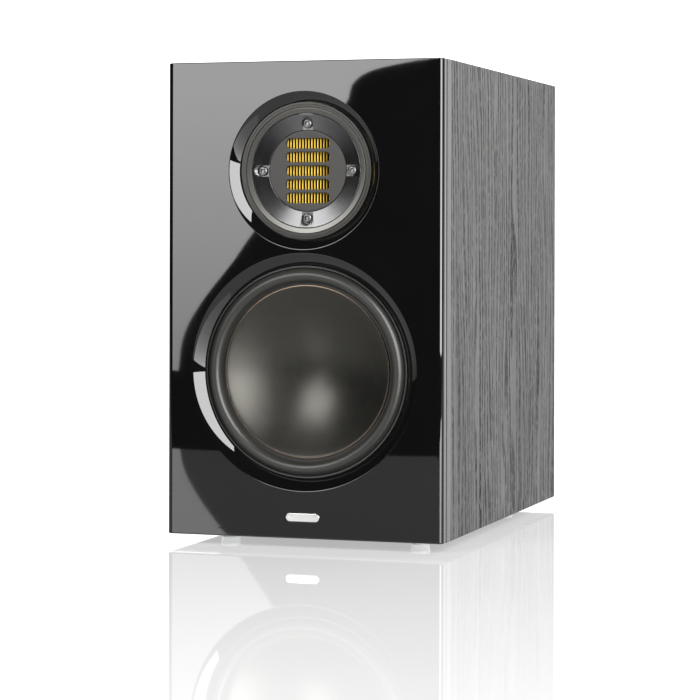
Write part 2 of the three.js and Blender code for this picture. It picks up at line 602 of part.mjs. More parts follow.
// Socket-head screws: a domed head with a hexagon socket, and a plain shank.
function tweeterScrews() {
  const top = SCREW_SEAT - FIT - SCREW_HEAD_HEIGHT;
  const profile = [
    [0, top],
    [SCREW_HEAD_RADIUS - 0.8, top],
    [SCREW_HEAD_RADIUS, top + 0.9],
    [SCREW_HEAD_RADIUS, SCREW_SEAT - FIT],
    [SCREW_SHANK_RADIUS, SCREW_SEAT - FIT],
    [SCREW_SHANK_RADIUS, SCREW_SEAT + SCREW_LENGTH],
    [0, SCREW_SEAT + SCREW_LENGTH],
  ];
  const socket = rod(1.3, top - 1, top + 1.3, 6);
  for (const [name, x, z] of screwPlaces) {
    const screw = cut(turned(profile, 20), socket).translate(x, 0, z);
    add(`tweeter_screw_${name}`, screw, FINISHES.steel, 0, TWEETER_Z);
  }
}

// ---------------------------------------------------------------- woofer

const SPOKE_HALF_ANGLE = 0.17; // radians

// The cast basket: flange, conical wall with windows, spider shelf and rear ring.
function wooferBasket() {
  const wall = BASKET_WALL;
  const profile = [
    [BASKET_MOUTH, FLANGE_FRONT],
    [BASKET_FLANGE_RADIUS, FLANGE_FRONT],
    [BASKET_FLANGE_RADIUS, BASKET_FLANGE_REAR],
    [BASKET_MOUTH + wall + 0.5, BASKET_FLANGE_REAR],
    [SHELF_OUTER, SHELF_DEPTH - wall],
    [SHELF_OUTER, SHELF_DEPTH + wall],
    [SHELF_INNER + wall, SHELF_DEPTH + wall],
    [SHELF_INNER + wall, BASKET_DEPTH],
    [GAP_RADIUS + 1, BASKET_DEPTH],
    [GAP_RADIUS + 1, BASKET_DEPTH - wall],
    [SHELF_INNER, BASKET_DEPTH - wall],
    [SHELF_INNER, SHELF_DEPTH],
    [SHELF_OUTER - wall - 0.2, SHELF_DEPTH],
    [SHELF_OUTER - wall - 0.2, SHELF_DEPTH - wall - 0.5],
    [BASKET_MOUTH, BASKET_FLANGE_REAR + 0.3],
  ];
  const halfAngle = Math.PI / WINDOW_COUNT - SPOKE_HALF_ANGLE;
  const reach = BASKET_FLANGE_RADIUS + 12;
  const wedge = polygon([
    [SHELF_INNER * Math.cos(halfAngle), -SHELF_INNER * Math.sin(halfAngle)],
    [reach * Math.cos(halfAngle), -reach * Math.sin(halfAngle)],
    [reach * Math.cos(halfAngle), reach * Math.sin(halfAngle)],
    [SHELF_INNER * Math.cos(halfAngle), SHELF_INNER * Math.sin(halfAngle)],
  ]);
  const windows = Array.from({ length: WINDOW_COUNT }, (_, i) =>
    slab(wedge, BASKET_FLANGE_REAR + 3.5, SHELF_DEPTH - 6).rotateY((i * 2 * Math.PI) / WINDOW_COUNT),
  );
  add("woofer_basket", cut(turned(profile), ...windows), FINISHES.castAlloy, 0, WOOFER_Z);
}

function wooferRings() {
  const rear = BASKET_FLANGE_REAR + FIT;
  const gasket = ring(SURROUND_OUTER_RADIUS + 1, BASKET_FLANGE_RADIUS - 1, rear, rear + GASKET_THICKNESS);
  add("woofer_gasket", gasket, FINISHES.foam, 0, WOOFER_Z);
  const outer = WOOFER_HOLE_RADIUS - 0.4;
  const profile = [
    [outer, WOOFER_BEVEL_DEPTH - 0.4],
    [outer, LIP_DEPTH - FIT],
    [SURROUND_OUTER_RADIUS + 0.5, LIP_DEPTH - FIT],
    [SURROUND_OUTER_RADIUS + 0.5, WOOFER_BEVEL_DEPTH],
    [SURROUND_OUTER_RADIUS + 0.8, WOOFER_BEVEL_DEPTH - 0.4],
  ];
  add("woofer_trim_ring", turned(profile, FINE), FINISHES.rubber, 0, WOOFER_Z);
}

// The surround: a flat lip glued to the basket, a half roll, and an inner lip behind the cone's edge.
function wooferSurround() {
  const arcSteps = 5;
  const middle = (SURROUND_OUTER_RADIUS + SURROUND_INNER_RADIUS) / 2;
  const span = (SURROUND_OUTER_RADIUS - SURROUND_INNER_RADIUS) / 2;
  const arc = (radius, rise) =>
    Array.from({ length: arcSteps + 1 }, (_, i) => {
      const angle = (Math.PI * i) / arcSteps;
      return [middle + radius * Math.cos(angle), LIP_DEPTH + RUBBER - rise * Math.sin(angle)];
    });
  const innerLip = CONE_EDGE_DEPTH + CONE_WALL + FIT;
  const outerArc = arc(span, SURROUND_RISE + RUBBER);
  const innerArc = arc(span - RUBBER, SURROUND_RISE).reverse();
  const profile = [
    [WOOFER_HOLE_RADIUS - 0.5, LIP_DEPTH],
    [SURROUND_OUTER_RADIUS + 0.1, LIP_DEPTH],
    ...outerArc.slice(1, -1),
    [SURROUND_INNER_RADIUS - 0.3, innerLip],
    [DISH_RADIUS + 0.2, innerLip],
    [DISH_RADIUS + 0.2, innerLip + RUBBER],
    [SURROUND_INNER_RADIUS + RUBBER, innerLip + RUBBER],
    ...innerArc,
    [WOOFER_HOLE_RADIUS - 0.5, LIP_DEPTH + RUBBER],
  ];
  add("woofer_surround", turned(profile, ROLLED), FINISHES.rubber, 0, WOOFER_Z);
}

// Depth of the cone's face at a radius: a shallow dish, level where it meets its own edge band.
const DISH_RADIUS = CONE_RADIUS - 1;
const dishDepth = (radius) => CONE_EDGE_DEPTH + CONE_DISH * (1 - (radius / DISH_RADIUS) ** 2) ** 1.1;

// The one-piece dish, its coil former and the winding: what moves with the music.
function movingAssembly() {
  const steps = 7;
  const radii = Array.from({ length: steps + 1 }, (_, i) => (DISH_RADIUS * i) / steps);
  const face = radii.map((radius) => [radius, dishDepth(radius)]);
  const back = face.map(([radius, depth]) => [radius, depth + CONE_WALL]).reverse();
  const edge = [
    [CONE_RADIUS, CONE_EDGE_DEPTH - 0.2],
    [CONE_RADIUS, CONE_EDGE_DEPTH + CONE_WALL],
  ];
  add("woofer_cone", turned([...face, ...edge, ...back], ROLLED), FINISHES.cone, 0, WOOFER_Z);

  const start = dishDepth(COIL_RADIUS - FORMER_WALL - 1) + CONE_WALL + FIT;
  const [coilFront, coilRear] = [COIL_MIDDLE - COIL_HEIGHT / 2, COIL_MIDDLE + COIL_HEIGHT / 2];
  const former = ring(COIL_RADIUS - FORMER_WALL, COIL_RADIUS, start, coilRear + 0.5, COARSE);
  add("voice_coil_former", former, FINISHES.former, 0, WOOFER_Z);
  const inner = COIL_RADIUS + FIT;
  const winding = ring(inner, inner + COIL_WIRE, coilFront, coilRear, COARSE);
  add("voice_coil_winding", winding, FINISHES.copper, 0, WOOFER_Z);
}

// The corrugated cloth spider that centres the coil.
function spider() {
  const [inner, outer] = [COIL_RADIUS + FIT, SHELF_OUTER - BASKET_WALL - 2 * FIT];
  const [rolls, height, cloth] = [3, 1.3, 0.6];
  const waveStart = inner + 3;
  const waveEnd = SHELF_INNER - 0.5;
  const steps = rolls * 3;
  const front = SPIDER_DEPTH - cloth;
  const wave = (offset) =>
    Array.from({ length: steps + 1 }, (_, i) => {
      const radius = waveStart + ((waveEnd - waveStart) * i) / steps;
      return [radius, front + offset - height * Math.sin((2 * Math.PI * rolls * i) / steps)];
    });
  const profile = [
    [inner, front],
    ...wave(0),
    [outer, front],
    [outer, front + cloth],
    ...wave(cloth).reverse(),
    [inner, front + cloth],
  ];
  add("spider", turned(profile, COARSE), FINISHES.spiderCloth, 0, WOOFER_Z);
}

function wooferMotor() {
  const topPlate = ring(GAP_RADIUS, POLE_PLATE_RADIUS, TOP_PLATE_FRONT, TOP_PLATE_REAR);
  add("woofer_top_plate", topPlate, FINISHES.steel, 0, WOOFER_Z);
  const magnet = ring(MAGNET_BORE, MAGNET_RADIUS, MAGNET_FRONT, MAGNET_REAR);
  add("woofer_magnet", magnet, FINISHES.ferrite, 0, WOOFER_Z);
  const profile = [
    [POLE_VENT, TOP_PLATE_FRONT],
    [POLE_RADIUS, TOP_PLATE_FRONT],
    [POLE_RADIUS, YOKE_FRONT],
    [POLE_PLATE_RADIUS, YOKE_FRONT],
    [POLE_PLATE_RADIUS, YOKE_REAR],
    [POLE_VENT, YOKE_REAR],
  ];
  add("woofer_yoke", turned(profile), FINISHES.steel, 0, WOOFER_Z);
}

// The block on the basket where the cable arrives, and the two braids from it to the coil.
function wooferTerminals() {
  const [start, width, tall] = [SHELF_OUTER + FIT, 16, 6];
  const front = SHELF_DEPTH - 2.5;
  const block = box(start, start + tall, front, SHELF_DEPTH + 3, -width / 2, width / 2);
  const tabs = [-5, 5].map((z) => box(start + 2, start + 3, SHELF_DEPTH, SHELF_DEPTH + 10, z - 1.5, z + 1.5));
  add("woofer_terminal_block", join(block, ...tabs), FINISHES.blackPlastic, 0, WOOFER_Z);
  const mouth = front - FIT;
  for (const [name, z] of [["plus", 5], ["minus", -5]]) {
    const route = [
      [start + 3.5, mouth, z],
      [start + 3, mouth - 3.5, z],
      [start - 2, mouth - 6.5, z],
      [44, mouth - 4.5, z],
      [34, mouth - 5, z],
      [24, mouth - 8, z],
      [COIL_RADIUS + 0.4, mouth - 8.5, z],
    ];
    add(`tinsel_lead_${name}`, cable(route, 0.6, 12), FINISHES.copper, 0, WOOFER_Z);
  }
}

// ---------------------------------------------------------------- rear fittings

// The reflex port: a tube flared at both ends, with a flange on the outside of the rear panel.
function portTube() {
  const [bore, outside, flare] = [PORT_RADIUS, PORT_RADIUS + PORT_WALL, PORT_FLARE];
  const inner = DEPTH - PORT_LENGTH;
  const quarter = 3;
  const arc = (radius, centreDepth, from, to) =>
    Array.from({ length: quarter + 1 }, (_, i) => {
      const angle = from + ((to - from) * i) / quarter;
      return [bore + flare - radius * Math.cos(angle), centreDepth + radius * Math.sin(angle)];
    });
  const skin = flare - PORT_WALL;
  const profile = [
    ...arc(flare, inner + flare, -Math.PI / 2, 0),
    ...arc(flare, DEPTH - flare, 0, Math.PI / 2),
    [bore + flare + 5, DEPTH],
    [bore + flare + 5, CABINET_REAR + FIT],
    [outside + flare / 2 - FIT, CABINET_REAR + FIT],
    [outside + flare / 2 - FIT, CABINET_REAR - 1],
    [outside, CABINET_REAR - flare / 2 - 2],
    ...arc(skin, inner + flare, 0, -Math.PI / 2),
  ];
  add("port_tube", turned(profile), FINISHES.blackPlastic, 0, PORT_Z);
}

const CUP_FLOOR = DEPTH - CUP_RECESS;

function terminalCup() {
  const [openWidth, openHeight] = [CUP_WIDTH - 2 * CUP_LIP, CUP_HEIGHT - 2 * CUP_LIP];
  const flange = slab(roundedRectangle(CUP_WIDTH, CUP_HEIGHT, 8), CABINET_REAR + FIT, DEPTH, 4);
  const body = slab(roundedRectangle(openWidth, openHeight, 4), CUP_FLOOR - CUP_WALL, CABINET_REAR + 1, 3);
  const hollow = roundedRectangle(openWidth - 2 * CUP_WALL, openHeight - 2 * CUP_WALL, 3);
  const cavity = slab(hollow, CUP_FLOOR, DEPTH + 1, 3);
  const postHoles = [-1, 1].map((side) =>
    rod(STUD_RADIUS + FIT, CUP_FLOOR - CUP_WALL - 1, CUP_FLOOR + 1, COARSE).translate(
      (side * POST_SPACING) / 2,
      0,
      0,
    ),
  );
  add("terminal_cup", cut(join(flange, body), cavity, ...postHoles), FINISHES.blackPlastic, 0, TERMINAL_Z);
}

// A binding post: a threaded stud with its collar, a clamp washer and a fluted knob. The knob turns
// on the thread and pushes the washer along with it.
function bindingPosts() {
  const collarFront = CUP_FLOOR + FIT;
  const collarRear = collarFront + 4;
  const studRear = collarRear + 17;
  const washerFront = collarRear + FIT;
  const washerRear = washerFront + 1.2;
  const knobFront = washerRear + FIT;
  const bore = STUD_RADIUS + THREAD_CLEARANCE;
  const stud = [
    [0, studRear - STUD_LENGTH],
    [STUD_RADIUS, studRear - STUD_LENGTH],
    [STUD_RADIUS, collarFront],
    [KNOB_RADIUS - 0.5, collarFront],
    [KNOB_RADIUS - 0.5, collarRear],
    [STUD_RADIUS, collarRear],
    [STUD_RADIUS, studRear],
    [BANANA_BORE, studRear],
    [BANANA_BORE, studRear - 15],
    [0, studRear - 15],
  ];
  const flutes = new THREE.Shape();
  const steps = KNOB_FLUTES * 4;
  for (let i = 0; i < steps; i++) {
    const angle = (2 * Math.PI * i) / steps;
    const radius = KNOB_RADIUS - 0.35 + 0.35 * Math.cos(angle * KNOB_FLUTES);
    const place = [radius * Math.cos(angle), radius * Math.sin(angle)];
    if (i) flutes.lineTo(...place);
    else flutes.moveTo(...place);
  }
  const knobRear = knobFront + KNOB_LENGTH;
  const knob = cut(slab(flutes, knobFront, knobRear), rod(bore, knobFront - 1, knobRear + 1, COARSE));
  for (const [name, side] of [["red", 1], ["black", -1]]) {
    const x = (side * POST_SPACING) / 2;
    const washer = ring(bore, KNOB_RADIUS - 1, washerFront, washerRear, COARSE);
    add(`post_stud_${name}`, turned(stud, COARSE), FINISHES.brass, x, TERMINAL_Z);
    add(`post_washer_${name}`, washer, FINISHES.brass, x, TERMINAL_Z);
    add(`post_knob_${name}`, knob.clone(), FINISHES.blackPlastic, x, TERMINAL_Z);
  }
}

// ---------------------------------------------------------------- crossover and cables

const BOARD_Z = FLOOR_Z + BOARD_LEG;
const BOARD_TOP = BOARD_Z + BOARD_THICKNESS;
const BOARD_REAR_DEPTH = BOARD_FRONT_DEPTH + BOARD_LENGTH;

// A coil of enamelled wire, standing on its end or lying on its side, resting on the board.
function coil(inner, outer, length, upright) {
  const wound = ring(inner, outer, -length / 2, length / 2, COARSE);
  if (upright) return wound.rotateX(Math.PI / 2).translate(0, 0, length / 2 + BOARD_TOP + FIT);
  return wound.rotateZ(Math.PI / 2).translate(0, 0, outer + BOARD_TOP + FIT);
}

function crossover() {
  const half = BOARD_WIDTH / 2;
  const board = box(-half, half, BOARD_FRONT_DEPTH, BOARD_REAR_DEPTH, BOARD_Z, BOARD_TOP);
  const legInset = 8;
  const legs = [-1, 1].flatMap((side) =>
    [BOARD_FRONT_DEPTH + legInset, BOARD_REAR_DEPTH - legInset].map((depth) => {
      const x = side * (half - legInset);
      return box(x - 3, x + 3, depth - 3, depth + 3, FLOOR_Z + FIT, BOARD_Z + 1);
    }),
  );
  add("crossover_board", join(board, ...legs), FINISHES.board);
  add("inductor_woofer", coil(11, 22, 20, true).translate(-26, BOARD_FRONT_DEPTH + 30, 0), FINISHES.copper);
  add("inductor_tweeter", coil(7, 14, 13, false).translate(32, BOARD_FRONT_DEPTH + 24, 0), FINISHES.copper);
  const lying = (radius, length) => rod(radius, 0, length, COARSE).translate(0, 0, radius + BOARD_TOP + FIT);
  add("capacitor_woofer", lying(11, 42).translate(31, BOARD_FRONT_DEPTH + 58, 0), FINISHES.capacitor);
  add("capacitor_tweeter", lying(8, 32).translate(-33, BOARD_FRONT_DEPTH + 68, 0), FINISHES.capacitor);
  const [size, length] = [9, 48];
  const [start, base] = [BOARD_FRONT_DEPTH + 52, BOARD_TOP + FIT];
  const resistor = box(-size / 2, size / 2, start, start + length, base, base + size);
  add("resistor", resistor, FINISHES.ceramic);
}

// The three cables inside, each a twisted pair in a sleeve, along its own route.
function cables() {
  const radius = 2.2;
  const above = BOARD_TOP + radius + FIT + 0.2;
  const [boardEdge, wall] = [BOARD_WIDTH / 2, INNER_HALF_WIDTH];
  const input = [
    [0, CUP_FLOOR - CUP_WALL - 14, TERMINAL_Z],
    [0, CUP_FLOOR - CUP_WALL - 26, TERMINAL_Z - 4],
    [0, BOARD_REAR_DEPTH + 22, TERMINAL_Z - 26],
    [0, BOARD_REAR_DEPTH + 8, above + 6],
    [0, BOARD_REAR_DEPTH - 8, above],
  ];
  add("input_cable", cable(input, radius, 12), FINISHES.cable);
  const tab = SHELF_OUTER + FIT + 2.5;
  const woofer = [
    [boardEdge - 7, BOARD_FRONT_DEPTH + 6, above],
    [boardEdge + 1, BOARD_FRONT_DEPTH - 6, above + 6],
    [wall - 16, BOARD_FRONT_DEPTH - 10, above + 34],
    [wall - 14, BOARD_FRONT_DEPTH - 22, WOOFER_Z - 24],
    [MAGNET_RADIUS + 14, SHELF_DEPTH + 26, WOOFER_Z - 6],
    [tab + 1, SHELF_DEPTH + 14, WOOFER_Z],
  ];
  add("woofer_cable", cable(woofer, radius, 16), FINISHES.cable);
  const tweeter = [
    [-boardEdge + 11, BOARD_FRONT_DEPTH + 6, above],
    [-boardEdge - 1, BOARD_FRONT_DEPTH - 4, above + 10],
    [-wall + 14, BOARD_FRONT_DEPTH, above + 46],
    [-wall + 16, BOARD_FRONT_DEPTH + 2, WOOFER_Z + 30],
    [-wall + BRACE_BORDER + 8, BRACE_FRONT + BRACE_BORDER + 16, WOOFER_Z + 76],
    [-30, BOARD_FRONT_DEPTH - 8, TWEETER_Z - 34],
    [-8, TWEETER_CAN_DEPTH + 30, TWEETER_Z - 8],
    [0, TWEETER_CAN_DEPTH + 14, TWEETER_Z],
    [0, TWEETER_CAN_DEPTH + FIT, TWEETER_Z],
  ];
  add("tweeter_cable", cable(tweeter, radius, 28), FINISHES.cable);
}

// A pad of wadding against the left wall, behind the woofer.
function dampingWool() {
  const [thickness, front, rear] = [34, BOARD_FRONT_DEPTH + 24, REAR_PANEL_FRONT - 13];
  const [bottom, top] = [BOARD_TOP + 36, WOOFER_Z + 62];
  const outline = roundedRectangle(rear - front, top - bottom, 14);
  const pad = new THREE.ExtrudeGeometry(outline, { depth: thickness, bevelEnabled: false, curveSegments: 3 });
  pad.rotateX(Math.PI / 2).rotateZ(Math.PI / 2);
  pad.translate(-INNER_HALF_WIDTH + FIT, (front + rear) / 2, (bottom + top) / 2);
  add("damping_wool", pad, FINISHES.wool);
}

// ---------------------------------------------------------------- the speaker

frontBaffle();
mitredPanels();
frontFrame();
subBaffle();
rearPanel();
windowBrace();
feet();
badge();

tweeterFlange();
tweeterWaveguide();
tweeterFrontPlate();
tweeterDiaphragm();
tweeterMotor();
tweeterBackCan();
tweeterGasket();
tweeterScrews();

wooferBasket();
wooferRings();
wooferSurround();
movingAssembly();
spider();
wooferMotor();
wooferTerminals();

portTube();
terminalCup();
bindingPosts();
crossover();
cables();
dampingWool();

export default speaker;
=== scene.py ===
# %% [markdown]
# # A two-way bookshelf speaker
#
# The speaker has a gloss baffle, a veneered cabinet, a pleated-film tweeter and a woofer with a
# one-piece metal dish. Its engineering model is already packed, so this lesson only builds the looks
# on top of that model. The model is the frame that every piece hangs on. Most places are read from it,
# so each piece sits where the mechanism needs it, and only its own details are typed as sizes.

# %% Load the frame
import math

import bmesh
import bpy
from mathutils import Matrix, Vector, noise
from mathutils.geometry import delaunay_2d_cdt


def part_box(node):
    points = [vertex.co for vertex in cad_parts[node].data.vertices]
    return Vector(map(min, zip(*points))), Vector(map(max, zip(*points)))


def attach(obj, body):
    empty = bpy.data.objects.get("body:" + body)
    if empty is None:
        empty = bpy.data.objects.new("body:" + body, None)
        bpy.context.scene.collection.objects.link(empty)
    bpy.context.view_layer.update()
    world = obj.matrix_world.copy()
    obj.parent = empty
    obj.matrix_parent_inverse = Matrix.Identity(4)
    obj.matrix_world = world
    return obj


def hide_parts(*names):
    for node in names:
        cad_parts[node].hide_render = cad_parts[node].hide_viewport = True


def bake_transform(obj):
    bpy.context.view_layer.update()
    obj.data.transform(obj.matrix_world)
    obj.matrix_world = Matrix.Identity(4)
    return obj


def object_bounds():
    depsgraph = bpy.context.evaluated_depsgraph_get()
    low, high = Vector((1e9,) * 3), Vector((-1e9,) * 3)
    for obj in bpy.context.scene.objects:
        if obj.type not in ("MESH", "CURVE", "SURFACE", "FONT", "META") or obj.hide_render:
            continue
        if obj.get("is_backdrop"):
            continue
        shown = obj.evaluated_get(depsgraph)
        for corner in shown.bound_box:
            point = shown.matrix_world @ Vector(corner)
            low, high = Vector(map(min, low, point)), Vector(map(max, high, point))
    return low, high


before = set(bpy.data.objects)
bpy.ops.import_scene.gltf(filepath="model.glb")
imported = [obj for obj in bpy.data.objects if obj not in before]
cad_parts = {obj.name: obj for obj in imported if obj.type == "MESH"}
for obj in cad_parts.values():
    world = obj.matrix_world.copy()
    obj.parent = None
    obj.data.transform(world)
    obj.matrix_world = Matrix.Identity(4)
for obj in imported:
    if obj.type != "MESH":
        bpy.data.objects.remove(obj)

cad_box = [list(corner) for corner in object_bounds()]
print("frame box in mm", [[round(v * 1000, 1) for v in corner] for corner in cad_box])

# %% [markdown]
# ## Where things are
#
# A speaker is laid out from a few lines: the face of the baffle, the axes of the two drivers, and the
# axes of the port and the terminals behind. A drawing gives sizes in millimetres and measures each
# depth back from the face, so the lesson does the same. Blender counts in metres, and one small
# function turns a drawing's numbers into a point of the frame.

# %% Driver axes and other places
MM = 0.001


def middle(node):
    """The middle of a frame node, in millimetres."""
    low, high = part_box(node)
    return (low + high) / (2 * MM)


def reach(node, axis, side):
    """One limit of a frame node along an axis, in millimetres: side 0 is the lower one."""
    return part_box(node)[side][axis] / MM


FACE = reach("front_baffle", 1, 0)


def depths(node):
    """Where a frame node starts and where it ends, in millimetres behind the face."""
    return reach(node, 1, 0) - FACE, reach(node, 1, 1) - FACE


CABINET_BOTTOM = reach("bottom_panel", 2, 0)
CABINET_TOP = reach("top_panel", 2, 1)
HALF_WIDTH = reach("side_panel_right", 0, 1)
CABINET_MIDDLE = (CABINET_BOTTOM + CABINET_TOP) / 2
HALF_HEIGHT = (CABINET_TOP - CABINET_BOTTOM) / 2
TWEETER = middle("tweeter_flange")
WOOFER = middle("woofer_cone")
PORT = middle("port_tube")
CUP = middle("terminal_cup")


def place(x, depth, z):
    """A point of the frame in metres, from millimetres and a depth behind the baffle's face."""
    return Vector((x * MM, (FACE + depth) * MM, z * MM))


for title, spot in (("tweeter", TWEETER), ("woofer", WOOFER), ("port", PORT), ("terminals", CUP)):
    print(f"{title} axis at x {spot.x:.1f}, z {spot.z:.1f} mm")

# %% [markdown]
# ## A box of strips
#
# Almost every piece here is a plate, a ring or a tube. Each can be described as closed outlines, one
# behind the other, with skin stretched between them. That is how a draughtsman lofts a hull, and it
# gives clean rows of faces that follow the shape, so highlights run smoothly along edges. The box below
# gathers points and faces, and turns them into one Blender object at the end.

# %% The box that gathers points and faces
class Skin:
    """Points and faces of one piece, gathered outline by outline."""

    def __init__(self):
        self.points, self.faces = [], []

    def outline(self, points):
        start = len(self.points)
        self.points += points
        return list(range(start, len(self.points)))

    def strip(self, one, two):
        """Skin between two outlines of as many points, or a fan where one is a single point."""
        if len(one) > 1 and len(two) > 1:
            for i in range(len(one)):
                j = (i + 1) % len(one)
                self.faces.append((one[i], one[j], two[j], two[i]))
        elif len(one) > 1:
            self.fan(one, two[0])
        elif len(two) > 1:
            self.fan(two, one[0])

    def fan(self, outline, tip):
        for i, here in enumerate(outline):
            self.faces.append((here, outline[(i + 1) % len(outline)], tip))

    def cap(self, outline):
        self.faces.append(tuple(outline))

    def loft(self, levels, ends="capped"):
        """Skin from each outline to the next. The ends are capped, left open or joined."""
        rings = [self.outline(points) for points in levels]
        for one, two in zip(rings, rings[1:] + (rings[:1] if ends == "joined" else [])):
            self.strip(one, two)
        if ends == "capped":
            self.cap(rings[0])
            self.cap(rings[-1])
        return rings

    def flat(self, outer, holes):
        """Fills the plane between an outline and the holes in it."""
        used, edges = [], []
        for ring in (outer, *holes):
            start, count = len(used), len(ring)
            edges += [(start + k, start + (k + 1) % count) for k in range(count)]
            used += ring
        spots, _, faces, origin, _, _ = delaunay_2d_cdt(self.plan(used), edges, [], 0, 1e-5)
        boundaries = [self.plan(ring) for ring in holes]
        for face in faces:
            centre = sum((spots[i] for i in face), Vector((0, 0))) / len(face)
            if not any(inside(centre, boundary) for boundary in boundaries):
                self.faces.append(tuple(used[origin[i][0]] for i in face))

    def plan(self, outline):
        """An outline's points as seen from the front, in millimetres."""
        return [Vector((self.points[i].x, self.points[i].z)) / MM for i in outline]


def inside(spot, boundary):
    """Whether a flat point lies within a closed outline."""
    found = False
    for a, b in zip(boundary, boundary[1:] + boundary[:1]):
        if (a.y > spot.y) != (b.y > spot.y):
            found ^= spot.x < a.x + (spot.y - a.y) * (b.x - a.x) / (b.y - a.y)
    return found


print("skin box ready")

# %% [markdown]
# ## From skin to a finished mesh
#
# Real edges are never knife sharp, and the eye reads their size from the thin light that they catch.
# So each corner of a drawn profile gets a small round. Flats next to such a round have to stay
# perfectly flat in the light, and a weighted-normal modifier does that: it lets the largest face
# decide the direction of light at each corner. The modifier's result is kept in the mesh.

# %% Rounding, smoothing and making objects
TINY, NEARLY_STRAIGHT = 1e-4, math.radians(168)


def eased(profile, radius=0.3, steps=3):
    """A closed profile with its corners rounded. A third number in a corner is its own radius."""
    corners = [(Vector(c[:2]), c[2] if len(c) > 2 else radius) for c in profile]
    out = []
    for i, (here, size) in enumerate(corners):
        before, after = corners[i - 1][0] - here, corners[(i + 1) % len(corners)][0] - here
        on_axis, touching = here.x < TINY, min(before.length, after.length) < TINY
        if size <= 0 or on_axis or touching or before.angle(after) > NEARLY_STRAIGHT:
            out.append(here)
            continue
        angle = before.angle(after)
        run = min(size / math.tan(angle / 2), before.length * 0.45, after.length * 0.45)
        size = run * math.tan(angle / 2)
        before, after = before.normalized(), after.normalized()
        centre = here + (before + after).normalized() * size / math.sin(angle / 2)
        first, last, sweep = here + before * run - centre, here + after * run - centre, math.pi - angle
        for k in range(steps + 1):
            t = k / steps
            turn = first * math.sin((1 - t) * sweep) + last * math.sin(t * sweep)
            out.append(centre + turn / math.sin(sweep))
    return [(p.x, p.y) for p in out]


def keep_modifiers(piece):
    """Replaces a piece's mesh with what its modifiers make of it."""
    bpy.context.view_layer.update()
    shaped = piece.evaluated_get(bpy.context.evaluated_depsgraph_get())
    mesh = bpy.data.meshes.new_from_object(shaped)
    old = piece.data
    piece.modifiers.clear()
    piece.data = mesh
    bpy.data.meshes.remove(old)
    mesh.name = piece.name
    return piece


def smooth(piece, angle=38):
    """Smooth shading with crisp flats and with sharp edges where faces meet steeply."""
    piece.data.polygons.foreach_set("use_smooth", [True] * len(piece.data.polygons))
    piece.data.set_sharp_from_angle(angle=math.radians(angle))
    modifier = piece.modifiers.new("crisp flats", "WEIGHTED_NORMAL")
    modifier.keep_sharp = True
    modifier.weight = 100
    return keep_modifiers(piece)


def piece_from(skin, name, angle=38):
    """One welded, outward-facing object from a skin."""
    mesh = bpy.data.meshes.new(name)
    mesh.from_pydata(skin.points, [], skin.faces)
    work = bmesh.new()
    work.from_mesh(mesh)
    bmesh.ops.remove_doubles(work, verts=work.verts, dist=1e-6)
    bmesh.ops.dissolve_degenerate(work, edges=work.edges, dist=1e-7)
    bmesh.ops.recalc_face_normals(work, faces=work.faces)
    work.to_mesh(mesh)
    work.free()
    piece = bpy.data.objects.new(name, mesh)
    bpy.context.scene.collection.objects.link(piece)
    return smooth(piece, angle) if angle else piece


print("an eased square has", len(eased([(1, 0), (9, 0), (9, 8), (1, 8)])), "corners")

# %% [markdown]
# ## Turning and framing
#
# Rings, cones and tubes come off a lathe, so `turned` spins a profile of radius and depth about a
# driver's axis. Frames and trays come from a mould with rounded corners, so `framed` sweeps a profile
# round a rectangle. Both take profiles in millimetres, closed on themselves, and both ease the corners.

# %% A lathe and a frame maker
def about(axis, radius, depth, angle):
    """A point at a radius and an angle about an axis that runs along Y."""
    return place(axis.x + radius * math.cos(angle), depth, axis.z + radius * math.sin(angle))


def circle(axis, radius, depth, steps):
    return [about(axis, radius, depth, 2 * math.pi * k / steps) for k in range(steps)]


def turned(name, axis, profile, steps=160, ease=0.3, angle=38):
    """A solid of revolution about a line along Y. Corners on the axis close it there."""
    skin = Skin()
    skin.loft([circle(axis, radius, depth, steps if radius > TINY else 1)
               for radius, depth in eased(profile, ease)], "joined")
    return piece_from(skin, name, angle)


def rounded(axis, half_wide, half_high, corner, depth, steps=8):
    """A rectangle with round corners, as one outline at a depth."""
    corner = max(min(corner, half_wide - 0.01, half_high - 0.01), 0.02)
    out = []
    for quarter, (sx, sz) in enumerate(((1, 1), (-1, 1), (-1, -1), (1, -1))):
        for k in range(steps + 1):
            a = math.pi / 2 * (quarter + k / steps)
            x = axis.x + sx * (half_wide - corner) + corner * math.cos(a)
            z = axis.z + sz * (half_high - corner) + corner * math.sin(a)
            out.append(place(x, depth, z))
    return out


def framed(name, axis, half_wide, half_high, corner, profile, ease=0.3, angle=38):
    """A closed frame. Its profile gives how far in from the rectangle and how deep each corner is."""
    skin = Skin()
    off_axis = 1.0
    corners = eased([(c[0] + off_axis, *c[1:]) for c in profile], ease)
    skin.loft([rounded(axis, half_wide - inset + off_axis, half_high - inset + off_axis,
                       corner - (inset - off_axis) * 0.5, depth) for inset, depth in corners], "joined")
    return piece_from(skin, name, angle)


print("lathe and frame maker ready")

# %% [markdown]
# ## Handing a piece over
#
# Each new piece stands in for a node of the frame, moves with one of its bodies, and takes its material.
# Doing all of that in one call makes it hard to forget one of the three.

# %% Hand a piece over to the frame
def hand_over(piece, material, body, slot, *nodes):
    """Paints a piece, makes it move with a body and stand for frame nodes."""
    piece.data.materials.append(material)
    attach(piece, body)
    if nodes:
        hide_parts(*nodes)
    print(f"{piece.name}: {len(piece.data.polygons)} faces, rides on {body}")
    return piece


def paint(material, *nodes):
    """Gives frame nodes that stay in view a better material."""
    for node in nodes:
        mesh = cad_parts[node].data
        for i in range(len(mesh.materials)):
            mesh.materials[i] = material


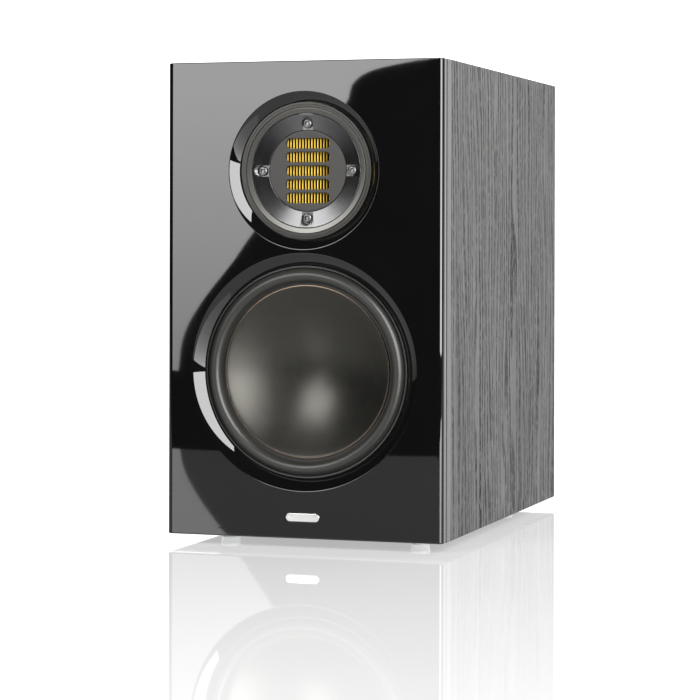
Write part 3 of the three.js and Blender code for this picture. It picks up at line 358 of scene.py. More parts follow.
def carved(piece, cutters, angle=30):
    """Cuts other solids out of a piece, then smooths it again."""
    for cutter in cutters:
        modifier = piece.modifiers.new("carve", "BOOLEAN")
        modifier.operation, modifier.solver, modifier.object = "DIFFERENCE", "EXACT", cutter
        keep_modifiers(piece)
        bpy.data.objects.remove(cutter)
    return smooth(piece, angle)


print("hand-over helpers ready")

# %% [markdown]
# ## Sums written as sums
#
# A shader is arithmetic on values that change over a surface, and node by node that arithmetic is hard
# to read. The small class below wraps one output socket and answers to the usual operators, so a mask
# can be written as `1 - grain * 0.4`, and the Math nodes appear by themselves. Colours keep to Mix
# nodes, because a Math node would turn them grey.

# %% A socket that can be added and multiplied
class Signal:
    """An output socket that takes part in ordinary arithmetic."""

    def __init__(self, nodes, socket):
        self.nodes, self.socket = nodes, socket

    def math(self, operation, *others, clamp=False):
        settings = {"operation": operation, "use_clamp": clamp}
        return self.nodes.node("ShaderNodeMath", settings, dict(enumerate((self, *others))))

    def __add__(self, other):
        return self.math("ADD", other)

    def __sub__(self, other):
        return self.math("SUBTRACT", other)

    def __rsub__(self, other):
        return self * -1 + other

    def __mul__(self, other):
        return self.math("MULTIPLY", other)

    def __truediv__(self, other):
        return self.math("DIVIDE", other)

    def __pow__(self, other):
        return self.math("POWER", other)

    __radd__, __rmul__ = __add__, __mul__

    def step(self, low, high):
        """0 below low, 1 above high, smooth between. Low may be the larger one."""
        settings = {"interpolation_type": "SMOOTHSTEP"}
        if low < high:
            return self.nodes.node("ShaderNodeMapRange", settings, {0: self, 1: low, 2: high})
        return 1 - self.nodes.node("ShaderNodeMapRange", settings, {0: self, 1: high, 2: low})

    def clipped(self):
        return self.math("ADD", 0.0, clamp=True)


# %% [markdown]
# ## One way to add a node
#
# Materials, lamps and the surroundings are all trees of nodes. Adding one takes its kind, its settings,
# and a value or a link for each of its sockets. One method that takes all three keeps every recipe
# below down to a line or two.

# %% The node tree and its patterns
class Nodes:
    """The node tree of a material or of the world. Its patterns are measured in millimetres."""

    def __init__(self, owner):
        owner.use_nodes = True
        self.owner, self.tree, self.start = owner, owner.node_tree, None

    def link(self, signal, socket):
        self.tree.links.new(signal.socket, socket)

    def node(self, kind, settings=None, sockets=None, output=0):
        """Adds a node: its settings first, then values or links for its sockets."""
        node = self.tree.nodes.new(kind)
        for key, value in (settings or {}).items():
            setattr(node, key, value)
        for key, value in (sockets or {}).items():
            if isinstance(value, Signal):
                self.link(value, node.inputs[key])
            else:
                node.inputs[key].default_value = value
        return None if output is None else Signal(self, node.outputs[output])

    def spot(self):
        """Where a point of the surface is on its object, in metres."""
        self.start = self.start or self.node("ShaderNodeTexCoord", output="Object")
        return self.start

    def axis(self, name):
        """One coordinate of the spot, in millimetres."""
        return self.node("ShaderNodeSeparateXYZ", None, {0: self.spot()}, name) * 1000

    def radius(self, centre):
        """Distance from a driver's axis, in millimetres."""
        x, z = self.axis("X") - centre.x, self.axis("Z") - centre.z
        return (x * x + z * z) ** 0.5

    def stretched(self, size):
        """The spot divided by a feature's size in millimetres: one number, or one for each axis."""
        sizes = size if isinstance(size, tuple) else (size, size, size)
        scale = [1 / (MM * one) for one in sizes]
        return self.node("ShaderNodeMapping", None, {"Vector": self.spot(), "Scale": scale})

    def noise(self, size, detail=3.0, roughness=0.5, distortion=0.0):
        """Noise with features of a size in millimetres, or noise of a signal."""
        sockets = {"Vector": size if isinstance(size, Signal) else self.stretched(size), "Scale": 1.0,
                   "Detail": detail, "Roughness": roughness, "Distortion": distortion}
        return self.node("ShaderNodeTexNoise", None, sockets)

    def cells(self, size, randomness=1.0, distance="EUCLIDEAN"):
        sockets = {"Vector": self.stretched(size), "Scale": 1.0, "Randomness": randomness}
        return self.node("ShaderNodeTexVoronoi", {"distance": distance}, sockets)

    def mix(self, factor, one, two):
        """A colour between two, each a colour or a coloured signal."""
        return self.node("ShaderNodeMix", {"data_type": "RGBA"}, {0: factor, 6: one, 7: two}, 2)


print("node builder ready")

# %% [markdown]
# ## One recipe book for all finishes
#
# Every finish starts from the same standard surface, then varies its colour, gloss and relief. Values
# that are the same all over sit on the surface's own sockets, where an export can find them. Patterns
# are measured in the object's own millimetres, so a grain has its true size on every piece.

# %% The finish builder
class Finish(Nodes):
    """One material. Uniform values go straight on the surface, and patterns are linked to it."""

    def __init__(self, name, **uniform):
        super().__init__(bpy.data.materials.new(name))
        self.surface = self.tree.nodes["Principled BSDF"]
        for key, value in uniform.items():
            self.surface.inputs[key.replace("_", " ")].default_value = value

    def colour(self, value):
        self.link(value, self.surface.inputs["Base Color"])
        return self

    def gloss(self, roughness):
        self.link(roughness.clipped(), self.surface.inputs["Roughness"])
        return self

    def relief(self, height, depth_mm, strength=1.0):
        sockets = {"Height": height, "Distance": depth_mm * MM, "Strength": strength}
        self.link(self.node("ShaderNodeBump", None, sockets), self.surface.inputs["Normal"])
        return self


def tinted(value, tint):
    """A linear colour as bright as a grey, with a tint."""
    return (*(value * share for share in tint), 1)


def grey(value, warm=0.0):
    """A linear grey, a little warmer or cooler."""
    return tinted(value, (1 + warm, 1, 1 - warm))


print("finish builder ready")

# %% [markdown]
# ## Black lacquer
#
# The baffle is board sprayed with several coats of black polyester and polished until it mirrors the
# room. Its colour hardly matters, since nearly all that is seen is reflection. So the base is close to
# black, and the life comes from a polish that is very slightly uneven and a trace of long waves that
# the pad leaves. Both stay weak, or the straight edges of a reflected lamp would wobble.

# %% Lacquer, and the painted edge beside it
def lacquer():
    finish = Finish("black_lacquer", IOR=1.5)
    haze = finish.noise(34, 4)
    waves = finish.noise((16, 16, 24), 1)
    finish.colour(finish.mix(haze, grey(0.0012), grey(0.0022)))
    return finish.gloss(haze * 0.02 + 0.012).relief(waves, 0.004, 0.35).owner


def painted_edge():
    """Satin lacquer on the lipping: sprayed, so it has a faint fog of droplets."""
    finish = Finish("lipping_lacquer", IOR=1.5, Specular_IOR_Level=0.3)
    cloud = finish.noise((25, 25, 60), 3)
    spray = finish.noise(0.35, 2)
    finish.colour(finish.mix(cloud * 0.6 + spray * 0.4, grey(0.055), grey(0.075)))
    return finish.gloss(cloud * 0.1 + spray * 0.08 + 0.34).relief(spray, 0.01, 0.4).owner


LACQUER, PAINTED_EDGE = lacquer(), painted_edge()
print("lacquers:", LACQUER.name, PAINTED_EDGE.name)

# %% [markdown]
# ## Black-stained ash veneer
#
# Ash is ring porous: each year starts with a row of large pores, which show as dark broken lines along
# the grain, and ends with dense pale wood. Stain sinks into the pores and leaves the dense wood
# greyer. The pattern is built the way the tree builds it. A distance through the log, bent by slow
# noise, gives the years. A sawtooth of that distance gives the early wood, and very long thin noise
# cut by it gives the pores. Side boards carry the grain upright. The grain of the top and bottom runs
# across, because the four boards are folded from one sheet.

# %% Veneer with the grain along a chosen axis
def veneer(name, along):
    finish = Finish(name, IOR=1.48, Specular_IOR_Level=0.25)
    sizes = {"Z": ((1.3, 1.3, 50), (1.9, 1.9, 5.5), (9, 9, 300), (24, 24, 330), (60, 60, 380)),
             "X": ((50, 1.3, 1.3), (5.5, 1.9, 1.9), (300, 9, 9), (330, 24, 24), (380, 60, 60))}[along]
    fibre, pore, streak, drift, sweep = (finish.noise(s, 2) for s in sizes)
    across = finish.axis("Y") + finish.axis("X" if along == "Z" else "Z")
    length = finish.axis(along)
    log = across + sweep * 60 + drift * 26 + (length * length) * 0.00009
    year = (log / 7.6 + streak * 0.8).math("FRACT")
    strength = drift.step(0.66, 0.34) * 0.55 + streak.step(0.35, 0.6) * 0.45
    early = year.step(0.36, 0.62) * year.step(1.0, 0.88) * (strength * 0.75 + 0.25)
    open_pores = pore.step(0.34, 0.56) * (early * 0.95 + 0.12)
    lines = fibre.step(0.36, 0.64)
    tone = streak.step(0.36, 0.66) * 0.25 + lines * 0.45 + sweep.step(0.36, 0.58) * 0.3
    body = finish.mix(tone.clipped(), grey(0.032, 0.01), grey(0.078, 0.008))
    early_wood = finish.mix(early * 0.6, body, grey(0.018, 0.01))
    finish.colour(finish.mix(open_pores.clipped(), early_wood, grey(0.005, 0.01)))
    finish.gloss(0.54 + open_pores * 0.22 - lines * 0.08)
    return finish.relief(lines * 0.35 + 1 - open_pores, 0.07, 0.55).owner


SIDE_VENEER, TOP_VENEER = veneer("ash_veneer_upright", "Z"), veneer("ash_veneer_across", "X")
print("veneers:", SIDE_VENEER.name, TOP_VENEER.name)

# %% [markdown]
# ## Raw board and rear paint
#
# Inside, the cabinet is bare fibreboard: fine felted fibres with darker specks. The back is painted
# black with a sprayed texture that hides joints and finger marks.

# %% Fibreboard and rear paint
def fibreboard():
    finish = Finish("fibreboard", IOR=1.45)
    felt = finish.noise(0.9, 5, 0.7)
    specks = finish.noise((0.4, 0.4, 2.2), 2).step(0.62, 0.72)
    body = finish.mix(felt, (0.20, 0.125, 0.062, 1), (0.36, 0.245, 0.135, 1))
    finish.colour(finish.mix(specks * 0.6, body, (0.11, 0.06, 0.03, 1)))
    return finish.gloss(felt * 0.15 + 0.75).relief(felt, 0.05, 0.5).owner


def rear_paint():
    finish = Finish("rear_paint", IOR=1.5)
    drops = finish.noise(0.8, 3, 0.6)
    cloud = finish.noise(40, 2)
    finish.colour(finish.mix(drops * 0.5 + cloud * 0.5, grey(0.008), grey(0.022)))
    return finish.gloss(0.52 + drops * 0.2).relief(drops, 0.07, 0.8).owner


FIBREBOARD, REAR_PAINT = fibreboard(), rear_paint()
print("boards:", FIBREBOARD.name, REAR_PAINT.name)

# %% [markdown]
# ## Turned metal
#
# The tweeter's rings are turned from aluminium. A cutting tool leaves circles of its own feed, so a
# very fine noise of the radius alone gives lines that run true round the axis. Fine turning lines
# spread a lamp's reflection into the soft fans that turned metal shows.

# %% A family of turned metals
WHITE = (1, 1, 1)


def turned_metal(name, centre, dark, light, rough, line_mm=0.12, depth_mm=0.006, tint=WHITE, metallic=1.0,
                 band=0.0, band_gain=1.0):
    """Turned metal. Within the band's radius it is brighter, as a second cut leaves it."""
    finish = Finish(name, Metallic=metallic)
    radius = finish.radius(centre)
    feed = finish.node("ShaderNodeCombineXYZ", None, {0: radius / line_mm, 1: 0.5, 2: 0.5})
    lines = finish.noise(feed, 2, 0.6)
    cloud = finish.noise(9, 3)
    colour = finish.mix(lines * 0.5 + cloud * 0.5, tinted(dark, tint), tinted(light, tint))
    if band:
        bright = finish.mix(lines, tinted(dark * band_gain, tint), tinted(light * band_gain, tint))
        colour = finish.mix(radius.step(band + 0.1, band - 0.1), colour, bright)
    finish.colour(colour)
    return finish.gloss(lines * 0.1 + cloud * 0.06 + rough - 0.08).relief(lines, depth_mm, 0.5).owner


RING_METAL = turned_metal("ring_metal", TWEETER, 0.034, 0.050, 0.36, 0.12, 0.004, (1.03, 1.01, 0.94), 0.9,
                          band=43.1, band_gain=2.6)
HORN_METAL = turned_metal("horn_metal", TWEETER, 0.076, 0.099, 0.24)
CONE_METAL = turned_metal("cone_metal", WOOFER, 0.037, 0.049, 0.33, 0.3, 0.004, (1.04, 1.01, 0.89), 0.88)
EDGE_COPPER = turned_metal("cone_edge_copper", WOOFER, 0.13, 0.22, 0.34, 0.2, 0.004, (1.0, 0.72, 0.52))
print("turned metals:", RING_METAL.name, HORN_METAL.name, CONE_METAL.name)


# %% Blasted, plated and brushed metals
def grained_metal(name, dark, light, rough, grain_mm, depth_mm, metallic=1.0, tint=WHITE):
    """Cast, blasted or plated metal: grains as fine as the shot, and slow clouds of wear."""
    finish = Finish(name, Metallic=metallic)
    grain = finish.noise(grain_mm, 2, 0.6)
    cloud = finish.noise(14, 3)
    finish.colour(finish.mix(grain * 0.5 + cloud * 0.5, tinted(dark, tint), tinted(light, tint)))
    return finish.gloss(grain * 0.12 + cloud * 0.1 + rough - 0.11).relief(grain, depth_mm, 0.6).owner


PLATE_METAL = grained_metal("blasted_plate", 0.029, 0.038, 0.6, 0.14, 0.02, 0.3, (1.04, 1.0, 0.92))
SCREW_STEEL = grained_metal("screw_steel", 0.15, 0.23, 0.3, 0.3, 0.005)
ZINC_STEEL = grained_metal("zinc_plated_steel", 0.42, 0.55, 0.34, 0.6, 0.006, 1.0, (1.04, 1.0, 0.93))
NICKEL = grained_metal("nickel_plate", 0.55, 0.66, 0.2, 0.4, 0.003, 1.0, (1.03, 1.0, 0.94))
CAST_ALLOY = grained_metal("painted_casting", 0.03, 0.05, 0.5, 0.9, 0.06, 0.6)
GOLD_PLATE = grained_metal("gold_plated_brass", 0.75, 0.95, 0.22, 0.4, 0.004, 1.0, (1.0, 0.7, 0.28))
print("grained metals:", PLATE_METAL.name, SCREW_STEEL.name, CAST_ALLOY.name)

# %% [markdown]
# ## Pleated film
#
# The tweeter's diaphragm is a thin film with flat aluminium tracks, folded like an accordion. Through
# the slots it looks amber gold. Its colour is painted darker deeper in the pleats, as painted shade in the
# valleys, so the ridges read brighter. Each ridge carries fine creases, and the tracks show as slight
# changes of tone along it.

# %% The film
FILM_FRONT = reach("tweeter_diaphragm", 1, 0)


def pleated_film():
    finish = Finish("pleated_film", Metallic=0.75)
    crease = finish.noise((0.7, 3, 0.5), 3, 0.6)
    tracks = (finish.axis("Z") / 1.45).math("FRACT")
    gap = tracks.step(0.86, 0.95)
    body = finish.mix(crease, (0.56, 0.36, 0.03, 1), (0.80, 0.58, 0.10, 1))
    ridge = finish.mix(gap * 0.35, body, (0.3, 0.15, 0.012, 1))
    # painted shade: the colour turns dark brown with depth behind the film's front, down into the pleat valleys
    valley_shade = (finish.axis("Y") - FILM_FRONT).step(0.5, 1.6)
    finish.colour(finish.mix(valley_shade, ridge, (0.05, 0.024, 0.003, 1)))
    return finish.gloss(crease * 0.2 + 0.24).relief(crease - gap * 0.3, 0.03, 0.6).owner


FILM = pleated_film()
print("film:", FILM.name)

# %% [markdown]
# ## Rubber, moulded plastic and foam
#
# Rubber has a skin like very fine leather and a soft bloom that lightens it at the edges of its curves.
# Moulded plastic copies the spark-eroded texture of its mould. Foam is a crowd of tiny open cells. One
# recipe serves all three: two sizes of grain, a slow cloud, and a depth.

# %% Soft and moulded materials
def moulded(name, dark, light, rough, grain_mm, depth_mm, tint=WHITE, **uniform):
    finish = Finish(name, **{"IOR": 1.48, **uniform})
    grain = finish.noise(grain_mm, 3, 0.6)
    pits = finish.cells(grain_mm * 1.6)
    cloud = finish.noise(22, 2)
    finish.colour(finish.mix(grain * 0.4 + cloud * 0.6, tinted(dark, tint), tinted(light, tint)))
    finish.gloss(grain * 0.14 + cloud * 0.08 + rough - 0.1)
    return finish.relief(grain * 0.6 + pits * 0.6, depth_mm, 0.6).owner


SURROUND_RUBBER = moulded("surround_rubber", 0.010, 0.015, 0.38, 0.16, 0.012, (1.06, 1.03, 0.86),
                          Sheen_Weight=0.03)
BLACK_PLASTIC = moulded("black_plastic", 0.012, 0.022, 0.42, 0.3, 0.03)
TRIM_PLASTIC = moulded("trim_plastic", 0.010, 0.016, 0.33, 0.2, 0.01)
RED_PLASTIC = moulded("red_plastic", 0.30, 0.42, 0.34, 0.4, 0.01, (1.0, 0.045, 0.03))
FOAM = moulded("gasket_foam", 0.012, 0.03, 0.9, 0.5, 0.14)
FERRITE = moulded("ferrite", 0.03, 0.055, 0.62, 0.22, 0.03)
CERAMIC = moulded("resistor_ceramic", 0.62, 0.78, 0.7, 0.35, 0.04, (1.0, 0.97, 0.9))
BLOCK_PLASTIC = moulded("phenolic_block", 0.05, 0.08, 0.5, 0.5, 0.02, (1.0, 0.72, 0.5))
CAPACITOR_WRAP = moulded("capacitor_wrap", 0.22, 0.33, 0.3, 1.2, 0.012, (1.0, 0.12, 0.08))
CABLE_SLEEVE = moulded("cable_sleeve", 0.016, 0.03, 0.48, 0.5, 0.02)
print("moulded materials:", SURROUND_RUBBER.name, BLACK_PLASTIC.name, FOAM.name)


# %% Clear feet
def clear_rubber():
    """Soft clear polyurethane, with a skin of fine dust."""
    finish = Finish("clear_bumper", IOR=1.49, Transmission_Weight=0.25, Coat_Weight=0.3)
    dust = finish.noise(0.6, 4, 0.6)
    finish.colour(finish.mix(dust, (0.86, 0.90, 0.88, 1), (0.97, 0.98, 0.97, 1)))
    return finish.gloss(dust * 0.12 + 0.08).relief(dust, 0.02, 0.3).owner


CLEAR_RUBBER = clear_rubber()
print("feet:", CLEAR_RUBBER.name)

# %% [markdown]
# ## Wound, woven and felted materials
#
# A coil shows its turns as close parallel ridges, a spider is a coarse cotton weave stiff with resin,
# and wadding is a tangle of fibres. Turns are a wave along the coil's axis. The weave is two such waves
# at right angles, multiplied. Fibres are noise drawn out in one direction and bent by another noise.

# %% Copper turns, cloth, wadding and circuit board
def winding(name, axis, turn_mm, tint=(1.0, 0.42, 0.2)):
    finish = Finish(name, Metallic=0.85)
    along = finish.axis(axis) * (2 * math.pi / turn_mm)
    ridges = along.math("SINE") * 0.5 + 0.5
    mottled = finish.noise(3, 3)
    # painted shade in the grooves between turns and painted highlight on their crowns, in step with the ridges
    finish.colour(finish.mix(ridges * 0.6 + mottled * 0.4, tinted(0.32, tint), tinted(0.8, tint)))
    return finish.gloss(mottled * 0.15 + 0.28).relief(ridges, turn_mm * 0.3, 0.9).owner


def resined_cloth():
    finish = Finish("spider_cloth", IOR=1.5, Sheen_Weight=0.2)
    thread = 2 * math.pi / 0.9
    warp, weft = finish.axis("X") * thread, finish.axis("Z") * thread
    weave = warp.math("SINE") * weft.math("SINE") * 0.5 + 0.5
    stain = finish.noise(8, 4)
    body = finish.mix(stain, (0.42, 0.22, 0.06, 1), (0.62, 0.38, 0.13, 1))
    finish.colour(finish.mix(weave * 0.5, (0.25, 0.12, 0.03, 1), body))
    return finish.gloss(0.6 + weave * 0.2).relief(weave, 0.12, 0.8).owner


def wadding():
    finish = Finish("wadding", IOR=1.4, Sheen_Weight=0.4)
    bend = finish.noise(12, 3)
    fibres = finish.noise((0.5, 7, 0.5), 4, 0.65, 1.4)
    cross = finish.noise((0.5, 0.6, 8), 4, 0.65, 1.4)
    tangle = fibres * 0.5 + cross * 0.5
    finish.colour(finish.mix(tangle * 0.7 + bend * 0.3, grey(0.5, 0.03), grey(0.86, 0.02)))
    return finish.gloss(0.85 + bend * 0.15).relief(tangle, 0.8, 0.9).owner


def circuit_board():
    finish = Finish("circuit_board", IOR=1.52)
    track = finish.cells(9, 0.55, "CHEBYCHEV").step(0.46, 0.4)
    weave = finish.noise(0.7, 2)
    body = finish.mix(weave, (0.012, 0.10, 0.03, 1), (0.02, 0.15, 0.045, 1))
    finish.colour(finish.mix(track * 0.6, body, (0.05, 0.24, 0.08, 1)))
    return finish.gloss(weave * 0.12 + 0.3).relief(track * 0.6 + weave * 0.3, 0.06, 0.6).owner


COIL_WIRE = winding("voice_coil_wire", "Y", 0.25)
INDUCTOR_WIRE = winding("inductor_wire", "Z", 1.1)
INDUCTOR_WIRE_LYING = winding("inductor_wire_lying", "X", 0.9)
LEAD_BRAID = winding("lead_braid", "X", 0.8)
FORMER_FILM = winding("coil_former", "Y", 9.0, (1.0, 0.72, 0.45))
SPIDER_CLOTH, WADDING, CIRCUIT_BOARD = resined_cloth(), wadding(), circuit_board()
print("wound and woven:", COIL_WIRE.name, SPIDER_CLOTH.name, WADDING.name)


# %% Polished badge metal
def brushed_badge():
    finish = Finish("badge_metal", Metallic=1.0)
    brush = finish.noise((6, 6, 0.05), 3, 0.6)
    finish.colour(finish.mix(brush, grey(0.72, 0.01), grey(0.92, 0.01)))
    return finish.gloss(brush * 0.16 + 0.1).relief(brush, 0.006, 0.5).owner


BADGE_METAL = brushed_badge()
print("badge:", BADGE_METAL.name)

# %% [markdown]
# ## The gloss baffle
#
# The baffle is one plate of board: its upright edges are rounded at 4 mm, its top and bottom edges
# only just, and each driver hole opens towards the room in a cone-shaped bevel. A subdivided box would
# pull all of these out of shape. Here the plate is lofted upwards from its own plan, the front is one
# exactly flat plane with holes in it, and each hole gets a turned skin. The polish depends on that
# plane: any ripple in its points would bend the reflections.

# %% Plan of the baffle and its lofted sides
BAFFLE_THICKNESS = reach("front_baffle", 1, 1) - FACE
BAFFLE_HALF = reach("front_baffle", 0, 1)
EDGE_ROUND, END_ROUND = 4.0, 0.9
EDGE_STEPS, HOLE_STEPS = 18, 256


def plan_line(pull):
    """The baffle's plan from one rear corner round the front to the other, pulled inwards."""
    half, radius = BAFFLE_HALF - pull, EDGE_ROUND - pull
    arc = [math.pi / 2 * k / EDGE_STEPS for k in range(EDGE_STEPS + 1)]
    left = [(-half + radius - radius * math.cos(a), EDGE_ROUND - radius * math.sin(a)) for a in arc]
    right = [(-x, y) for x, y in reversed(left)]
    return [(-half, BAFFLE_THICKNESS), *left, *right, (half, BAFFLE_THICKNESS)]


def baffle_levels(steps=6):
    """Heights of the loft's outlines, with how far each is pulled in to round the ends."""
    ends = []
    for k in range(steps + 1):
        a = math.pi / 2 * k / steps
        ends.append((END_ROUND * (1 - math.cos(a)), END_ROUND * (1 - math.sin(a))))
    bottom = [(CABINET_BOTTOM + rise, pull) for rise, pull in ends]
    return bottom + [(CABINET_TOP - rise, pull) for rise, pull in reversed(ends)]


def round_hole(rim, hole, bevel, swell, lip=1.2, lip_steps=6, steps=14):
    """Profile of a driver hole from the face back: an eased lip, a slightly swollen bevel, the bore."""
    slope, swell, outer = math.atan2(bevel, rim - hole), math.radians(swell), rim + 0.4
    first = slope - swell
    tilts = [first * k / lip_steps for k in range(lip_steps)]
    tilts += [first + 2 * swell * k / steps for k in range(steps)]
    runs = [lip * first / lip_steps] * lip_steps + [math.hypot(bevel, rim - hole) / steps] * steps
    r, d, line = 0.0, 0.0, [(0.0, 0.0)]
    for tilt, run in zip(tilts, runs):
        r, d = r + run * math.cos(tilt), d + run * math.sin(tilt)
        line.append((r, d))
    profile = [(outer - (outer - hole) * inwards / r, bevel * depth / d) for inwards, depth in line]
    return profile + [(hole, bevel + 0.3), (hole, BAFFLE_THICKNESS)]


TWEETER_HOLE, WOOFER_HOLE = 47.6, 73.0
DRIVER_HOLES = ((TWEETER, round_hole(53.9, TWEETER_HOLE, 5.2, 8)),
                (WOOFER, round_hole(81.2, WOOFER_HOLE, 6.0, 6.5)))
BADGE_WIDE, BADGE_HIGH, BADGE_GAP = 12.0, 2.75, 0.2


def lozenge_line(grow, depth, steps=8):
    """The badge's outline, a rectangle with half-round ends, grown all round."""
    wide, high = BADGE_WIDE + grow, BADGE_HIGH + grow
    return rounded(middle("badge"), wide, high, high, depth, steps)


print(f"baffle {2 * BAFFLE_HALF:.1f} by {CABINET_TOP - CABINET_BOTTOM:.1f} by {BAFFLE_THICKNESS:.1f} mm")


# %% The baffle itself
def baffle():
    """Lofted from bottom to top, but its large front and back faces are filled round their holes."""
    skin = Skin()
    rings = skin.loft([[place(x, depth, z) for x, depth in plan_line(pull)] for z, pull in baffle_levels()])
    low, high = rings[len(rings) // 2 - 1], rings[len(rings) // 2]
    left, right = EDGE_STEPS + 1, EDGE_STEPS + 2
    large = {(low[left], low[right], high[right], high[left]), (low[-1], low[0], high[0], high[-1])}
    skin.faces = [face for face in skin.faces if face not in large]
    holes = [skin.loft([circle(axis, radius, depth, HOLE_STEPS) for radius, depth in profile], "open")
             for axis, profile in DRIVER_HOLES]
    pocket = skin.loft([lozenge_line(BADGE_GAP + grow, depth)
                        for grow, depth in ((0.25, 0.0), (0.07, 0.07), (0.0, 0.25), (0.0, 1.0))], "open")
    skin.cap(pocket[-1])
    front, back = sorted(large, key=lambda face: skin.points[face[0]].y)
    skin.flat(front, [*(hole[0] for hole in holes), pocket[0]])
    skin.flat(back, [hole[-1] for hole in holes])
    return piece_from(skin, "gloss_baffle", 40)


hand_over(baffle(), LACQUER, "cabinet", "gloss_black", "front_baffle")

# %% [markdown]
# ## Lipping and veneered boards
#
# Behind the baffle runs a narrow painted lipping, and behind that the four boards, folded round mitred
# corners from one sheet. Folded corners show no end grain, only a fine seam along a slightly rounded
# edge. Each board is drawn as its cross-section, with the outer corners rounded just as far as the
# seam, and drawn out along the cabinet's depth.

# %% Lipping
CABINET = Vector((0, 0, CABINET_MIDDLE))
WALL = HALF_WIDTH - reach("rear_panel", 0, 1)

front, rear = depths("front_frame")
lipping_profile = [(0, front, 0.4), (0, rear), (WALL, rear), (WALL, front)]
lipping = framed("lipping", CABINET, HALF_WIDTH, HALF_HEIGHT, 0.8, lipping_profile)
hand_over(lipping, PAINTED_EDGE, "cabinet", "lipping", "front_frame")

# %% Four folded boards
SEAM = 0.1
BOARDS = (("top_board", "top_panel", TOP_VENEER), ("right_board", "side_panel_right", SIDE_VENEER),
          ("bottom_board", "bottom_panel", TOP_VENEER), ("left_board", "side_panel_left", SIDE_VENEER))


def eased_ends(front, rear, ease):
    """Depths along a block, and how far its outline is pulled in at each to ease both ends."""
    rounding = [(0, ease), (0.3 * ease, 0.3 * ease), (ease, 0)]
    return [(front + run, pull) for run, pull in rounding] + [
        (rear - run, pull) for run, pull in rounding[::-1]]


def board_section(long_half, across, thick, corner=0.8, steps=5):
    """Half-round corners at both outer ends of a mitred board, as (along, outward) points."""
    arc = [math.pi / 4 * k / steps for k in range(steps + 1)]
    tip = [(long_half - corner + corner * math.sin(a), across - corner + corner * math.cos(a)) for a in arc]
    outer = [(-x + SEAM, y) for x, y in reversed(tip)] + [(x - SEAM, y) for x, y in tip]
    return outer + [(long_half - thick - SEAM, across - thick), (-long_half + thick + SEAM, across - thick)]


def folded_board(name, node, turn):
    """One board, drawn lying on top and turned in quarter turns round the cabinet."""
    side = turn % 2
    along, across = (HALF_HEIGHT, HALF_WIDTH) if side else (HALF_WIDTH, HALF_HEIGHT)
    section = board_section(along, across, WALL)
    inner_corners = section[-2:]
    skin, levels = Skin(), []
    for depth, pull in eased_ends(*depths(node), 0.3):
        line = []
        for u, v in section:
            v -= 0 if (u, v) in inner_corners else pull
            for _ in range(turn):
                u, v = v, -u
            line.append(place(u, depth, CABINET_MIDDLE + v))
        levels.append(line)
    skin.loft(levels)
    return piece_from(skin, name)


for turn, (name, node, material) in enumerate(BOARDS):
    hand_over(folded_board(name, node, turn), material, "cabinet", "veneer", node)

# %% Inner boards and the rear panel keep their own shape
paint(FIBREBOARD, "sub_baffle", "window_brace")
paint(REAR_PAINT, "rear_panel")
print("inner boards painted")

# %% [markdown]
# ## Badge and bumpers
#
# A plain lozenge of brushed metal is let into the baffle under the woofer. The cabinet stands on four
# soft clear bumpers. A bumper is pressed slightly out of shape by the weight, so its waist bulges.

# %% Badge and bumpers
def lozenge():
    skin = Skin()
    skin.loft([lozenge_line(-inset, depth, 16)
               for inset, depth in ((0.0, 0.8), (0.0, 0.2), (0.06, 0.08), (0.2, 0.0))])
    return piece_from(skin, "lozenge_badge")


hand_over(lozenge(), BADGE_METAL, "cabinet", "badge", "badge")


def bumper(name, node, steps=64):
    """A stack of circles seen from above, closed by a point below and above."""
    spot, top = middle(node), reach(node, 2, 1)
    profile = [(0, 0), (5.5, 0), (5.95, 0.35), (6.5, 2.4), (6.95, 4.6), (7.0, top - 0.3), (6.8, top), (0, top)]
    skin, levels = Skin(), []
    for radius, z in profile:
        angles = [2 * math.pi * k / steps for k in range(steps if radius else 1)]
        levels.append([Vector((spot.x + radius * math.cos(a), spot.y + radius * math.sin(a), z)) * MM
                       for a in angles])
    skin.loft(levels, "open")
    return piece_from(skin, name)


for corner in ("front_left", "front_right", "rear_left", "rear_right"):
    foot = bumper("bumper_" + corner, "foot_" + corner)
    hand_over(foot, CLEAR_RUBBER, "cabinet", "clear_foot", "foot_" + corner)

# %% [markdown]
# ## Tweeter ring and horn
#
# Seen from outside the tweeter is a nest of rings: an outer band, a groove, a brighter inner band that
# slopes inwards, then a short dark horn. All are turned, so all come off the same lathe. The horn has a
# pocket round each screw, milled flat and open towards the middle. A pocket can't be turned, so it is
# cut out afterwards with a solid of its shape.

# %% The ring
ring_profile = [
    (52.0, 8.5), (52.0, 11.4), (39.5, 11.4), (39.5, 5.8, 0.15), (42.9, 5.0, 0.25), (42.9, 6.2, 0.1),
    (43.4, 6.2, 0.1), (43.4, 5.4, 0.25), (45.2, 5.4, 0.1), (45.35, 5.6, 0.05), (45.5, 5.4, 0.1),
    (47.0, 5.4, 0.2), (47.0, 8.5),
]
tweeter_ring = turned("tweeter_ring", TWEETER, ring_profile, 224, 0.2)
hand_over(tweeter_ring, RING_METAL, "cabinet", "satin_steel", "tweeter_flange")


# %% Screw pockets and the horn
SCREW_CIRCLE = middle("tweeter_screw_right").x - TWEETER.x
SCREW_SEAT, POCKET_END = 9.6, 24.0


def pocket_cutter(turn, radius=3.9):
    """A round-ended block that reaches from a screw towards the middle."""
    arc = [math.pi * k / 24 - math.pi / 2 for k in range(25)]
    outline = [(SCREW_CIRCLE + radius * math.cos(a), radius * math.sin(a)) for a in arc]
    outline += [(POCKET_END, radius), (POCKET_END, -radius)]
    skin = Skin()
    skin.loft([[about(TWEETER, math.hypot(u, v), depth, math.atan2(v, u) + math.pi / 2 * turn)
                for u, v in outline] for depth in (4.0, SCREW_SEAT)])
    return piece_from(skin, f"pocket_{turn}", 0)


